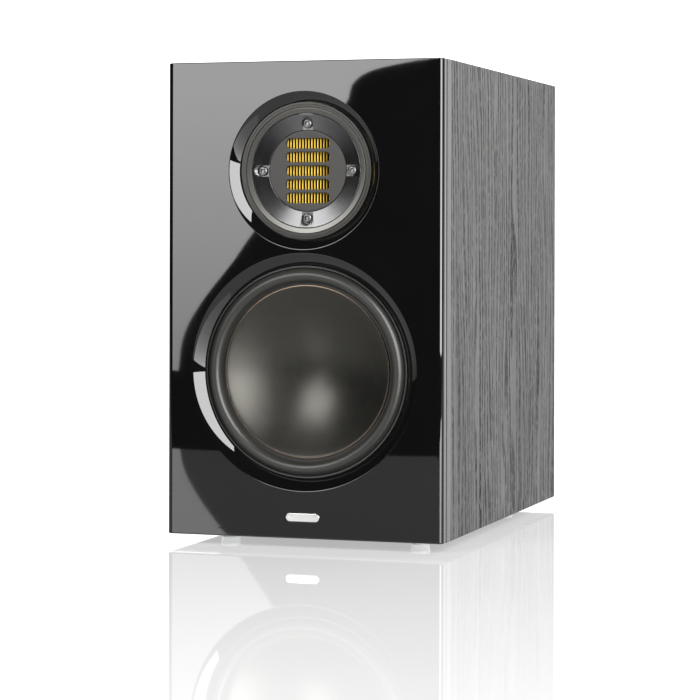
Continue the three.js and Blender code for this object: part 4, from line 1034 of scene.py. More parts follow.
horn_profile = [(39.2, 6.0, 0.35), (39.2, 12.0), (28.1, 12.0), (28.1, 9.4, 0.35)]
horn = carved(turned("tweeter_horn", TWEETER, horn_profile, 224), [pocket_cutter(k) for k in range(4)])
hand_over(horn, HORN_METAL, "cabinet", "satin_black", "tweeter_waveguide")

# %% [markdown]
# ## Slotted plate and folded film
#
# A steel plate with five round-ended slots stands in front of the film. Its slots have a small round
# where the punch went in. Behind it the film runs in upright pleats: in plan each pleat is a deep U, so
# its ridge is nearly flat and its flanks are steep. The plan is a softened square wave, and the sheet
# is that line drawn upwards.

# %% The slotted plate
SLOT_LENGTH, SLOT_HEIGHT, SLOT_PITCH = 32.0, 6.8, 9.35
PLATE_FRONT, PLATE_REAR, PLATE_RADIUS = 9.2, 11.9, 27.8


def slotted_plate():
    skin = Skin()
    rim = skin.loft([circle(TWEETER, PLATE_RADIUS - inset, depth, 192) for inset, depth in (
        (0.5, PLATE_FRONT), (0.15, PLATE_FRONT + 0.12), (0, PLATE_FRONT + 0.45), (0, PLATE_REAR))], "open")
    slots = []
    for k in range(-2, 3):
        centre, levels = TWEETER + Vector((0, 0, k * SLOT_PITCH)), []
        for grow, depth in ((0.55, PLATE_FRONT), (0.2, PLATE_FRONT + 0.14), (0, PLATE_FRONT + 0.55),
                            (0, PLATE_REAR)):
            half_wide, half_high = SLOT_LENGTH / 2 + grow, SLOT_HEIGHT / 2 + grow
            levels.append(rounded(centre, half_wide, half_high, half_high, depth, 12))
        slots.append(skin.loft(levels, "open"))
    for end in (0, -1):
        skin.flat(rim[end], [slot[end] for slot in slots])
    return piece_from(skin, "slotted_plate", 40)


hand_over(slotted_plate(), PLATE_METAL, "cabinet", "plate_grey", "tweeter_front_plate")


# %% The pleated film
def pleats(samples=26):
    """Plan of the film: a softened square wave, as (x, depth) points."""
    low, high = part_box("tweeter_diaphragm")
    half = (high.x - low.x) / (2 * MM) - 0.2
    centre = (low.y + high.y) / (2 * MM) - FACE
    swing = (high.y - low.y) / (2 * MM) - 0.1
    count = 15 * samples
    line = []
    for k in range(count + 1):
        t = k / count
        wave = math.tanh(1.5 * math.sin(2 * math.pi * 15 * t)) / math.tanh(1.5)
        line.append((-half + 2 * half * t, centre - swing * wave))
    return line, (low.z / MM, high.z / MM)


def film_sheet(thick=0.05, rows=9):
    line, (bottom, top) = pleats()
    skin, levels, normals = Skin(), [], []
    for i in range(len(line)):
        ax, ay = line[max(i - 1, 0)]
        bx, by = line[min(i + 1, len(line) - 1)]
        length = math.hypot(bx - ax, by - ay)
        normals.append(((by - ay) / length, -(bx - ax) / length))
    for row in range(rows):
        z = bottom + (top - bottom) * row / (rows - 1)
        front = [(x + nx * thick, y + ny * thick) for (x, y), (nx, ny) in zip(line, normals)]
        back = [(x - nx * thick, y - ny * thick) for (x, y), (nx, ny) in zip(line, normals)]
        levels.append([place(x, y, z) for x, y in front + back[::-1]])
    skin.loft(levels)
    return piece_from(skin, "pleated_film", 60)


hand_over(film_sheet(), FILM, "cabinet", "film", "tweeter_diaphragm")

# %% [markdown]
# ## Socket screws
#
# Four pan-head screws hold the tweeter's plates together. Each has a domed head with a six-sided
# socket, turned and then cut, and a thread that the lathe can make as a row of fine grooves.

# %% Four screws
def hexagon(axis, radius, front, rear):
    skin, angles = Skin(), [math.pi / 3 * k + 0.3 for k in range(6)]
    skin.loft([[about(axis, radius, depth, a) for a in angles] for depth in (front, rear)])
    return piece_from(skin, "socket", 0)


def pan_screw(name, axis, top, head_radius, head, shank_radius, length, pitch=0.5):
    seat = top + head
    profile = [(0, top), (head_radius * 0.55, top, 0.3), (head_radius * 0.9, top + head * 0.22, 0.5),
               (head_radius, top + head * 0.6, 0.3), (head_radius, seat, 0.1), (shank_radius, seat, 0.05)]
    depth = seat + 1.0
    while depth + pitch < seat + length:
        profile += [(shank_radius - 0.01, depth, 0), (shank_radius - 0.22, depth + pitch / 2, 0)]
        depth += pitch
    profile += [(shank_radius - 0.25, seat + length, 0.1), (0, seat + length)]
    screw = turned(name, axis, profile, 40, 0.1)
    return carved(screw, [hexagon(axis, head_radius * 0.42, top - 1, top + head * 0.62)])


for side in ("right", "top", "left", "bottom"):
    node = "tweeter_screw_" + side
    screw = pan_screw("pan_screw_" + side, middle(node), depths(node)[0], 3.3, 2.2, 1.6, 18.4)
    hand_over(screw, SCREW_STEEL, "cabinet", "steel", node)

# %% [markdown]
# ## Woofer surround
#
# The surround is a half roll of thin rubber. Its outer lip is glued to the basket and its inner lip to
# the back of the cone's edge, so it is the one visible piece that bends: the outer lip stays and the
# inner lip travels. Here each point's distance to the axis is worked out, but no share is kept, and the
# piece moves with no body.

# %% Each point's distance from an axis
def blend_round(piece, axis, still, moving):
    """Works out, for each point, a smooth share from one radius to another, in millimetres, and keeps none."""
    low = place(axis.x, 0, axis.z)
    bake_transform(piece)
    for vertex in piece.data.vertices:
        radius = math.hypot(vertex.co.x - low.x, vertex.co.z - low.z) / MM
        t = min(max((radius - still) / (moving - still), 0), 1)
        t * t * (3 - 2 * t)


def hand_over_bending(piece, material, still, moving, node):
    """Paints a piece, measures each point's distance from the woofer's axis, and hides the frame node it stands
    for.
    """
    piece.data.materials.append(material)
    blend_round(piece, WOOFER, still, moving)
    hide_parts(node)


# %% The half roll
ROLL_OUTER, ROLL_INNER, ROLL_RISE, RUBBER = 70.8, 61.2, 5.4, 0.8
CONE_LIP, GLUE_EDGE = 60.3, 58.5
LIP_DEPTH, GLUE_DEPTH = 7.4, 9.3


def roll_arc(radius, rise, steps=28):
    centre = (ROLL_OUTER + ROLL_INNER) / 2
    angles = [math.pi * k / steps for k in range(steps + 1)]
    return [(centre + radius * math.cos(a), LIP_DEPTH + RUBBER - rise * math.sin(a), 0) for a in angles]


span = (ROLL_OUTER - ROLL_INNER) / 2
outer_arc = roll_arc(span, ROLL_RISE + RUBBER)
inner_arc = roll_arc(span - RUBBER, ROLL_RISE)[::-1]
surround_profile = [
    (WOOFER_HOLE - 0.5, LIP_DEPTH, 0.1), (ROLL_OUTER + 0.25, LIP_DEPTH, 0.15), *outer_arc[2:-1],
    (ROLL_INNER, GLUE_DEPTH, 0.15), (GLUE_EDGE, GLUE_DEPTH, 0.1), (GLUE_EDGE, GLUE_DEPTH + RUBBER, 0.1),
    (ROLL_INNER + RUBBER, GLUE_DEPTH + RUBBER, 0.2), *inner_arc, (WOOFER_HOLE - 0.5, LIP_DEPTH + RUBBER, 0.1),
]
surround = turned("half_roll_surround", WOOFER, surround_profile, 256, 0.15, 50)
hand_over_bending(surround, SURROUND_RUBBER, ROLL_OUTER, CONE_LIP, "woofer_surround")

# %% Trim ring
trim_profile = [(72.6, 5.65, 0.15), (72.6, 7.1), (71.3, 7.1), (71.3, 6.0, 0.15), (71.6, 5.6, 0.1),
                (71.95, 5.75, 0.1)]
trim_ring = turned("trim_ring", WOOFER, trim_profile, 256, 0.1)
hand_over(trim_ring, TRIM_PLASTIC, "cabinet", "rubber", "woofer_trim_ring")

# %% [markdown]
# ## Woofer cone
#
# The cone is one pressed dish of aluminium without a dust cap, anodised dark. Its metal is drawn so
# smoothly that the lamps melt into two or three soft lights. A bare bright line shows where the sheet
# was cut at the edge. The dish is turned from its own curve, and the cut edge is a separate narrow
# ring, because its finish is different.

# %% Dish and its bright edge
CONE_RADIUS, DISH_RADIUS, EDGE_DEPTH, DISH_DEPTH, CONE_WALL = 59.3, 58.3, 8.0, 22.0, 1.0
DISH_STEPS = 56


def dish_depth(radius):
    return EDGE_DEPTH + DISH_DEPTH * (1 - (radius / DISH_RADIUS) ** 2) ** 1.1


radii = [DISH_RADIUS * math.sin(math.pi / 2 * k / DISH_STEPS) for k in range(DISH_STEPS + 1)]
front_face = [(r, dish_depth(r), 0) for r in radii]
back_face = [(r, dish_depth(r) + CONE_WALL, 0) for r in reversed(radii)]
cut = CONE_RADIUS - 0.55
dish_profile = [*front_face, (cut, EDGE_DEPTH - 0.08, 0.1), (cut, EDGE_DEPTH + CONE_WALL), *back_face]
dish = turned("metal_dish", WOOFER, dish_profile, 256, 0.1, 60)
hand_over(dish, CONE_METAL, "cone", "cone", "woofer_cone")

edge_profile = [(CONE_RADIUS, EDGE_DEPTH - 0.1, 0.12), (CONE_RADIUS, EDGE_DEPTH + CONE_WALL),
                (CONE_RADIUS - 0.5, EDGE_DEPTH + CONE_WALL), (CONE_RADIUS - 0.5, EDGE_DEPTH - 0.2, 0.1)]
hand_over(turned("bright_edge", WOOFER, edge_profile, 256, 0.08), EDGE_COPPER, "cone", "cone")

# %% [markdown]
# ## Coil, spider and the braids
#
# Behind the dish a short tube carries the voice coil into the magnet's gap, and a corrugated cloth, the
# spider, keeps it centred. Two braids bring the current across to the moving coil. In the real speaker
# the spider and the braids bend as the surround does; here they are handed over as the surround is.

# %% Coil and former
front, rear = depths("voice_coil_former")
coil_tube = turned("coil_tube", WOOFER, [(18.5, front), (19.0, front), (19.0, rear), (18.5, rear)], 96, 0.05)
hand_over(coil_tube, FORMER_FILM, "cone", "former", "voice_coil_former")

COIL_INNER, COIL_OUTER, COIL_TURNS = 19.3, 20.2, 40
front, rear = depths("voice_coil_winding")
rows = range(COIL_TURNS * 2)
ridges = [(COIL_OUTER - 0.07 * (k % 2), front + 0.2 + (rear - front - 0.4) * k / rows[-1], 0) for k in rows]
coil_profile = [(COIL_INNER, front, 0.1), *ridges, (COIL_INNER, rear, 0.1)]
coil_turns = turned("coil_turns", WOOFER, coil_profile, 96, 0.05, 80)
hand_over(coil_turns, COIL_WIRE, "cone", "copper", "voice_coil_winding")

# %% Spider
SPIDER_FRONT, SPIDER_REAR, WAVE_START, WAVE_END = 45.4, 46.0, 22.3, 41.0


def spider_wave(depth, steps=60):
    parts = [k / steps for k in range(steps + 1)]
    return [(WAVE_START + (WAVE_END - WAVE_START) * part, depth - 1.3 * math.sin(6 * math.pi * part), 0)
            for part in parts]


spider_profile = [(COIL_INNER, SPIDER_FRONT), *spider_wave(SPIDER_FRONT), (48.4, SPIDER_FRONT),
                  (48.4, SPIDER_REAR), *spider_wave(SPIDER_REAR)[::-1], (COIL_INNER, SPIDER_REAR)]
spider = turned("cloth_spider", WOOFER, spider_profile, 160, 0.1, 60)
hand_over_bending(spider, SPIDER_CLOTH, WAVE_END, WAVE_START - 0.3, "spider")


# %% Tubes along a smooth line
def smooth_line(points, steps):
    """A Catmull-Rom curve through points, evenly divided."""
    ends = [points[0] * 2 - points[1], *points, points[-1] * 2 - points[-2]]
    fine = []
    for k in range(len(points) - 1):
        a, b, c, d = ends[k:k + 4]
        for j in range(24):
            t = j / 24
            fine.append(((b * 2) + (c - a) * t + (a * 2 - b * 5 + c * 4 - d) * t * t
                         + (b * 3 - a - c * 3 + d) * t ** 3) / 2)
    fine.append(points[-1])
    lengths = [0.0]
    for one, two in zip(fine, fine[1:]):
        lengths.append(lengths[-1] + (two - one).length)
    out, k = [], 0
    for s in range(steps + 1):
        goal = lengths[-1] * s / steps
        while k < len(fine) - 2 and lengths[k + 1] < goal:
            k += 1
        share = (goal - lengths[k]) / max(lengths[k + 1] - lengths[k], 1e-12)
        out.append(fine[k].lerp(fine[k + 1], min(max(share, 0), 1)))
    return out, lengths[-1]


def tube(name, line, radius, sides=14, lay=None):
    """A round tube along a line in metres. lay(step, side) swells it, as strands do."""
    skin, levels, side = Skin(), [], None
    for k, here in enumerate(line):
        ahead = (line[min(k + 1, len(line) - 1)] - line[max(k - 1, 0)]).normalized()
        side = ahead.orthogonal() if side is None else side - ahead * side.dot(ahead)
        side.normalize()
        up = ahead.cross(side)
        ring = []
        for j in range(sides):
            a = 2 * math.pi * j / sides
            r = radius * (lay(k, a) if lay else 1) * MM
            ring.append(here + side * (r * math.cos(a)) + up * (r * math.sin(a)))
        levels.append(ring)
    skin.loft(levels)
    return piece_from(skin, name, 60)


# %% Two braids
BRAID_ROUTE = [(55.8, 44.2), (55.3, 40.7), (50.3, 37.7), (44, 39.7), (34, 39.2), (24, 36.2), (19.4, 35.7)]


def three_strands(step, angle):
    return 0.88 + 0.12 * math.cos(3 * angle + step * 0.55)


for side, z in (("plus", 5), ("minus", -5)):
    line, length = smooth_line([place(WOOFER.x + x, depth, WOOFER.z + z) for x, depth in BRAID_ROUTE], 120)
    braid = tube("braid_" + side, line, 0.56, 12, three_strands)
    hand_over_bending(braid, LEAD_BRAID, 52.0, 20.0, "tinsel_lead_" + side)
    print(f"braid {side}: {length * 1000:.0f} mm long")

# %% [markdown]
# ## Basket, magnet and gaskets
#
# The basket is cast, so its windows have soft corners. The motor behind it is a sandwich of two steel
# plates and a ring of ferrite. The gaskets are die-cut foam, swollen a little where nothing presses
# them. All of these come off the lathe again, and the basket's windows are carved out afterwards.

# %% Basket
basket_profile = [
    (66.0, 8.5), (78.0, 8.5), (78.0, 11.5), (69.5, 11.5, 1.2), (52.0, 44.0, 1.5), (52.0, 50.0, 0.8),
    (44.5, 50.0, 1.0), (44.5, 61.0, 0.8), (22.0, 61.0), (22.0, 58.0, 0.5), (41.5, 58.0, 0.8), (41.5, 47.0, 0.3),
    (48.8, 47.0, 0.3), (48.8, 43.5, 0.8), (66.0, 11.8, 0.8),
]


def window_cutter(turn, front=15.0, rear=41.0, soft_depth=3.5, soft_angle=0.065):
    """A wedge with round corners, between two spokes."""
    half = math.pi / 6 - 0.17 - soft_angle
    corners = ((front + soft_depth, -half), (front + soft_depth, half), (rear - soft_depth, half),
               (rear - soft_depth, -half))
    outline = []
    for k, (depth, angle) in enumerate(corners):
        for b in (math.pi - math.pi / 2 * (k + j / 6) for j in range(7)):
            outline.append((depth + soft_depth * math.cos(b), angle + soft_angle * math.sin(b)))
    skin = Skin()
    skin.loft([[about(WOOFER, radius, depth, a + turn * math.pi / 3) for depth, a in outline]
               for radius in (38.0, 92.0)])
    return piece_from(skin, f"window_{turn}", 0)


basket = carved(turned("cast_basket", WOOFER, basket_profile, 144, 0.5), [window_cutter(k) for k in range(6)])
hand_over(basket, CAST_ALLOY, "cabinet", "cast_alloy", "woofer_basket")


# %% Motor parts and gaskets, turned from their frame sizes
def ring_like(name, node, axis, inner, outer, material, slot, steps=128, ease=0.6):
    front, rear = depths(node)
    profile = [(inner, front), (outer, front), (outer, rear), (inner, rear)]
    hand_over(turned(name, axis, profile, steps, ease), material, "cabinet", slot, node)


ring_like("top_plate", "woofer_top_plate", WOOFER, 21.0, 44.0, ZINC_STEEL, "steel")
ring_like("ferrite_ring", "woofer_magnet", WOOFER, 24.0, 50.0, FERRITE, "ferrite", 128, 1.2)
ring_like("basket_gasket", "woofer_gasket", WOOFER, 71.8, 77.0, FOAM, "foam", 192, 0.35)
ring_like("tweeter_seal", "tweeter_gasket", TWEETER, 41.5, 51.0, FOAM, "foam", 160, 0.35)

VENT, POLE, YOKE = 5, 17.9, 44
front, rear = depths("woofer_yoke")
yoke_profile = [(VENT, front, 1.0), (POLE, front, 0.6), (POLE, rear - 6), (YOKE, rear - 6), (YOKE, rear, 1.0),
                (VENT, rear, 0.8)]
yoke = turned("yoke_and_pole", WOOFER, yoke_profile, 128, 0.4)
hand_over(yoke, ZINC_STEEL, "cabinet", "steel", "woofer_yoke")

front, rear = depths("tweeter_back_can")
can = reach("tweeter_back_can", 0, 1) - TWEETER.x
can_profile = [(can - 2, front), (can, front), (can, rear, 2.5), (0, rear), (0, rear - 2),
               (can - 2, rear - 2, 1.5)]
hand_over(turned("back_can", TWEETER, can_profile, 128, 0.4), BLACK_PLASTIC, "cabinet", "black_plastic",
          "tweeter_back_can")

paint(BLACK_PLASTIC, "tweeter_diaphragm_frame")
paint(NICKEL, "tweeter_magnet_left", "tweeter_magnet_right")
paint(ZINC_STEEL, "tweeter_rear_plate")
paint(BLOCK_PLASTIC, "woofer_terminal_block")
print("motor parts painted")

# %% [markdown]
# ## Reflex port
#
# The port is a moulded tube that opens in a flare at both ends, so the air leaves it quietly. Its
# flange lies on the rear panel. The bore is one run of arcs and a straight, so a single turned profile
# gives it without a seam.

# %% Port tube
PORT_BORE, PORT_FLARE, PORT_WALL, PORT_FLANGE = 25.0, 12.0, 2.5, 42.0
PORT_FRONT, REAR = depths("port_tube")
PANEL_REAR = depths("rear_panel")[1]


def flare_arc(radius, centre_depth, first, last, steps=14):
    angles = [math.radians(first + (last - first) * k / steps) for k in range(steps + 1)]
    centre = PORT_BORE + PORT_FLARE
    return [(centre - radius * math.cos(a), centre_depth + radius * math.sin(a), 0) for a in angles]


skin_radius, collar = PORT_FLARE - PORT_WALL, PORT_BORE + PORT_WALL + PORT_FLARE / 2 - 0.3
port_profile = [
    *flare_arc(PORT_FLARE, PORT_FRONT + PORT_FLARE, -90, 0), *flare_arc(PORT_FLARE, REAR - PORT_FLARE, 0, 90),
    (PORT_FLANGE, REAR, 1.2), (PORT_FLANGE, PANEL_REAR + 0.3), (collar, PANEL_REAR + 0.3),
    (collar, PANEL_REAR - 1), (PORT_BORE + PORT_WALL, PANEL_REAR - PORT_FLARE / 2 - 2, 1),
    *flare_arc(skin_radius, PORT_FRONT + PORT_FLARE, 0, -90),
]
port = turned("reflex_port", PORT, port_profile, 160, 0.2)
hand_over(port, BLACK_PLASTIC, "cabinet", "black_plastic", "port_tube")

# %% [markdown]
# ## Terminal cup
#
# The cup is a moulded tray, let into the rear panel and held by four countersunk screws. It is lofted
# from rounded rectangles, one behind the other, from its underside round the flange and down into the
# well. Its flat faces are filled round the holes for the posts and the screws.

# %% The cup
POST_SIDE = middle("post_stud_red").x - CUP.x
CUP_UNDERSIDE = depths("terminal_cup")[0]
CUP_FLOOR = CUP_UNDERSIDE + 2.5
FLANGE_FRONT = PANEL_REAR + 0.3
SCREW_SPOTS = [Vector((CUP.x + sx * 44.2, 0, CUP.z + sz * 34.2)) for sx in (1, -1) for sz in (1, -1)]
POST_SPOTS = [Vector((CUP.x + side * POST_SIDE, 0, CUP.z)) for side in (1, -1)]


def cup():
    """Three rounded rectangles: the body, the flange and the well. Each has its own depths and insets."""
    body = ((0.8, CUP_UNDERSIDE), (0.24, CUP_UNDERSIDE + 0.24), (0, CUP_UNDERSIDE + 0.8), (0, FLANGE_FRONT))
    flange = ((0, FLANGE_FRONT), (0, REAR - 0.9), (0.26, REAR - 0.26), (0.9, REAR))
    well = ((-0.8, REAR), (-0.24, REAR - 0.24), (0, REAR - 0.8), (0, CUP_FLOOR + 1.5), (0.44, CUP_FLOOR + 0.44),
            (1.5, CUP_FLOOR))
    skin = Skin()
    under, rim, inside_rim = (
        skin.loft([rounded(CUP, wide - inset, high - inset, corner - inset * 0.6, depth)
                   for inset, depth in levels], "open")
        for wide, high, corner, levels in ((42, 32, 4, body), (50, 40, 8, flange), (39.5, 29.5, 3, well)))
    bores = [skin.loft([circle(spot, 3.25, depth, 40) for depth in (CUP_UNDERSIDE, CUP_FLOOR)], "open")
             for spot in POST_SPOTS]
    sinks = [skin.loft([circle(spot, radius, depth, 32)
                        for radius, depth in ((1.8, FLANGE_FRONT), (1.8, REAR - 1.1), (3.0, REAR))], "open")
             for spot in SCREW_SPOTS]
    skin.flat(under[0], [bore[0] for bore in bores])
    skin.flat(inside_rim[-1], [bore[-1] for bore in bores])
    skin.flat(rim[0], [under[-1], *(sink[0] for sink in sinks)])
    skin.flat(rim[-1], [inside_rim[0], *(sink[-1] for sink in sinks)])
    return piece_from(skin, "terminal_tray", 40)


hand_over(cup(), BLACK_PLASTIC, "cabinet", "black_plastic", "terminal_cup")


# %% Countersunk screws with a cross recess
def cross_cutter(spot, top, bottom):
    """A plus-shaped block."""
    long, thin = 1.5, 0.32
    outline = []
    for quarter in range(4):
        for u, v in ((long, -thin), (long, thin), (thin, thin)):
            for _ in range(quarter):
                u, v = -v, u
            outline.append((u, v))
    skin = Skin()
    skin.loft([[place(spot.x + u * grow, depth, spot.z + v * grow) for u, v in outline]
               for grow, depth in ((1.05, top), (0.7, bottom))])
    return piece_from(skin, "cross", 0)


for number, spot in enumerate(SCREW_SPOTS, 1):
    top = REAR - 0.15
    screw_profile = [(0, top), (2.75, top, 0.12), (2.75, top - 0.2, 0.05), (1.6, top - 1.3, 0.1)]
    depth = top - 2.2
    while depth > top - 12:
        screw_profile += [(1.5, depth, 0), (1.15, depth - 0.35, 0)]
        depth -= 0.7
    screw_profile += [(0.3, top - 14), (0, top - 14.2)]
    screw = carved(turned(f"cup_screw_{number}", spot, screw_profile, 40, 0.05),
                   [cross_cutter(spot, REAR + 0.5, top - 1.0)])
    hand_over(screw, SCREW_STEEL, "cabinet", "steel")

# %% [markdown]
# ## Binding posts
#
# Each post is a threaded stud with a hole in its end for a banana plug, a washer that clamps a bare
# wire, and a fluted knob that screws down on it. A thread is a helix, but at this size its fine rows of
# grooves look the same and need no twist, so the stud is turned. The knob's flutes aren't round, so the
# knob is lofted from wavy outlines instead.

# %% Studs
def thread(low, high, pitch=0.8):
    """Rows of grooves between two depths."""
    starts = [low + pitch * k for k in range(int((high - low) / pitch))]
    return [corner for d in starts for corner in ((2.75, d, 0), (3.0, d + 0.3, 0), (3.0, d + 0.5, 0))]


def stud(name, node, spot):
    """Thread, collar and thread again, with a plug's hole in its end."""
    front, rear = depths(node)
    collar_front, collar_rear = CUP_FLOOR + 0.3, CUP_FLOOR + 4.3
    profile = [(0, front), (2.6, front, 0.1), *thread(front + 0.4, collar_front - 0.4),
               (2.8, collar_front, 0.1), (6.9, collar_front, 0.3), (6.9, collar_rear, 0.4),
               (2.8, collar_rear, 0.1), *thread(collar_rear + 0.4, rear - 0.9), (2.75, rear - 0.5, 0.1),
               (2.6, rear, 0.15), (2.0, rear, 0.2), (2.0, rear - 15), (0, rear - 15)]
    return turned(name, spot, profile, 64, 0.1)


def fluted(name, spot, outer, bore, ripple, count, levels):
    """A ring with a rippled rim. Levels give how far the rim is pulled in and the depth, front to rear."""
    skin, steps = Skin(), count * 10
    angles = [2 * math.pi * k / steps for k in range(steps)]
    waves = [(a, ripple * (0.5 - 0.5 * math.cos(a * count)) ** 1.5) for a in angles]
    rim = [[about(spot, outer - pull - wave * max(0, 1 - pull / 1.5), depth, a) for a, wave in waves]
           for pull, depth in levels]
    bores = [circle(spot, bore, depth, steps) for depth in (levels[-1][1], levels[0][1])]
    skin.loft(rim + bores, "joined")
    return piece_from(skin, name, 35)


KNOBS = (("red", RED_PLASTIC, "knob_red"), ("black", BLACK_PLASTIC, "black_plastic"))
for (colour, plastic, knob_slot), spot in zip(KNOBS, POST_SPOTS):
    post = stud("threaded_stud_" + colour, "post_stud_" + colour, spot)
    hand_over(post, GOLD_PLATE, "cabinet", "brass", "post_stud_" + colour)
    node = "post_washer_" + colour
    front, rear = depths(node)
    washer = fluted("clamp_washer_" + colour, spot, 6.5, 3.4, 0.12, 30,
                    ((0.2, front), (0, front + 0.2), (0, rear - 0.2), (0.2, rear)))
    hand_over(washer, GOLD_PLATE, "washer_" + colour, "brass", node)
    node = "post_knob_" + colour
    front, rear = depths(node)
    knob = fluted("fluted_knob_" + colour, spot, 7.5, 3.4, 0.7, 12, (
        (0.9, front), (0.3, front + 0.18), (0, front + 0.7), (0, rear - 3.0), (0.15, rear - 2.0),
        (0.6, rear - 1.0), (1.3, rear - 0.4), (2.2, rear - 0.08), (2.9, rear)))
    hand_over(knob, plastic, "knob_" + colour, knob_slot, node)

# %% [markdown]
# ## Crossover
#
# The crossover sends low notes to the woofer and high notes to the tweeter. Its parts lie on a circuit
# board on the floor of the cabinet. None of them faces the driver axes, so each is turned about Y as
# before and its finished mesh is then swung and moved to its place.

# %% Parts turned about any axis
def turned_at(name, node, profile, towards="Y", steps=96, ease=0.5):
    """A turned piece in the middle of a node's box. Its profile's depths run from 0 along the axis."""
    piece = turned(name, Vector((0, 0, 0)), profile, steps, ease)
    length = max(p[1] for p in profile)
    swing = {"Y": Matrix(), "Z": Matrix.Rotation(math.pi / 2, 4, "X"),
             "X": Matrix.Rotation(-math.pi / 2, 4, "Z")}
    to_middle = Matrix.Translation((0, -(FACE + length / 2) * MM, 0))
    piece.data.transform(Matrix.Translation(middle(node) * MM) @ swing[towards] @ to_middle)
    return piece


def coil(name, node, towards, inner, outer, length, wire):
    rows = [(outer - 0.25 * (k % 2), 0.6 + (length - 1.2) * k / 40, 0) for k in range(41)]
    profile = [(inner, 0), (outer - 1.2, 0, 0.8), *rows, (outer - 1.2, length, 0.8), (inner, length)]
    hand_over(turned_at(name, node, profile, towards), wire, "cabinet", "copper", node)


coil("woofer_choke", "inductor_woofer", "Z", 11, 22, 20, INDUCTOR_WIRE)
coil("tweeter_choke", "inductor_tweeter", "X", 7, 14, 13, INDUCTOR_WIRE_LYING)


def film_capacitor(name, node, radius, length):
    """A wrapped roll with its ends filled with resin, a little sunk."""
    profile = [(0, 0.7), (radius - 1.2, 0.7, 0.2), (radius - 0.8, 0, 0.3), (radius, 0.8, 0.6),
               (radius, length - 0.8, 0.6), (radius - 0.8, length, 0.3), (radius - 1.2, length - 0.7, 0.2),
               (0, length - 0.7)]
    hand_over(turned_at(name, node, profile), CAPACITOR_WRAP, "cabinet", "capacitor", node)


film_capacitor("woofer_capacitor_roll", "capacitor_woofer", 11, 42)
film_capacitor("tweeter_capacitor_roll", "capacitor_tweeter", 8, 32)


# %% Blocks with eased edges: resistor and circuit board
def eased_block(name, node, corner, ease):
    """A block in a node's box, lofted along the cabinet's depth."""
    low, high = (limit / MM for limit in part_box(node))
    centre, half = (low + high) / 2, (high - low) / 2
    skin = Skin()
    skin.loft([rounded(centre, half.x - pull, half.z - pull, corner, depth)
               for depth, pull in eased_ends(*depths(node), ease)])
    return piece_from(skin, name)


hand_over(eased_block("ceramic_resistor", "resistor", 0.9, 0.5), CERAMIC, "cabinet", "ceramic", "resistor")
board = eased_block("circuit_board", "crossover_board", 0.2, 0.15)
hand_over(board, CIRCUIT_BOARD, "cabinet", "board", "crossover_board")

# %% [markdown]
# ## Cables inside
#
# Three twin cables run inside: from the posts to the board, and from the board to each driver. They are
# fixed wiring, so each keeps the route of the frame and is drawn as two cores that twist slowly round
# each other.

# %% Three twin cables
INNER_HALF, BOARD_EDGE, BOARD_NEAR, BOARD_FAR = HALF_WIDTH - WALL, 55.0, 108.0, 223.0
ABOVE_BOARD = 32.2
ROUTES = {
    "input_cable": [
        (0, CUP_UNDERSIDE - 14, CUP.z), (0, CUP_UNDERSIDE - 26, CUP.z - 4), (0, BOARD_FAR + 22, CUP.z - 26),
        (0, BOARD_FAR + 8, ABOVE_BOARD + 6), (0, BOARD_FAR - 8, ABOVE_BOARD)],
    "woofer_cable": [
        (BOARD_EDGE - 7, BOARD_NEAR + 6, ABOVE_BOARD), (BOARD_EDGE + 1, BOARD_NEAR - 6, ABOVE_BOARD + 6),
        (INNER_HALF - 16, BOARD_NEAR - 10, ABOVE_BOARD + 34), (INNER_HALF - 14, BOARD_NEAR - 22, WOOFER.z - 24),
        (64, 73, WOOFER.z - 6), (55.8, 61, WOOFER.z)],
    "tweeter_cable": [
        (-BOARD_EDGE + 11, BOARD_NEAR + 6, ABOVE_BOARD), (-BOARD_EDGE - 1, BOARD_NEAR - 4, ABOVE_BOARD + 10),
        (-INNER_HALF + 14, BOARD_NEAR, ABOVE_BOARD + 46), (-INNER_HALF + 16, BOARD_NEAR + 2, WOOFER.z + 30),
        (-INNER_HALF + 34, 112, WOOFER.z + 76), (-30, BOARD_NEAR - 8, TWEETER.z - 34),
        (-8, 82, TWEETER.z - 8), (0, 66, TWEETER.z), (0, 52.3, TWEETER.z)],
}


def twin_lobes(step, angle):
    return 0.8 + 0.2 * abs(math.cos(angle + step * 0.12))


for node, route in ROUTES.items():
    line, length = smooth_line([place(*spot) for spot in route], 150)
    cable = tube("twin_" + node, line, 2.15, 20, twin_lobes)
    hand_over(cable, CABLE_SLEEVE, "cabinet", "cable", node)
    print(f"{node}: {length * 1000:.0f} mm")

# %% [markdown]
# ## Wadding
#
# A pad of polyester wadding rests against the left wall and takes up the sound from behind the woofer.
# It is flat only where it touches the wall. Its free face is crowned and its sides pull in. Shells of a
# rounded rectangle, smaller towards the crown, give that shape, and slow noise makes it uneven.

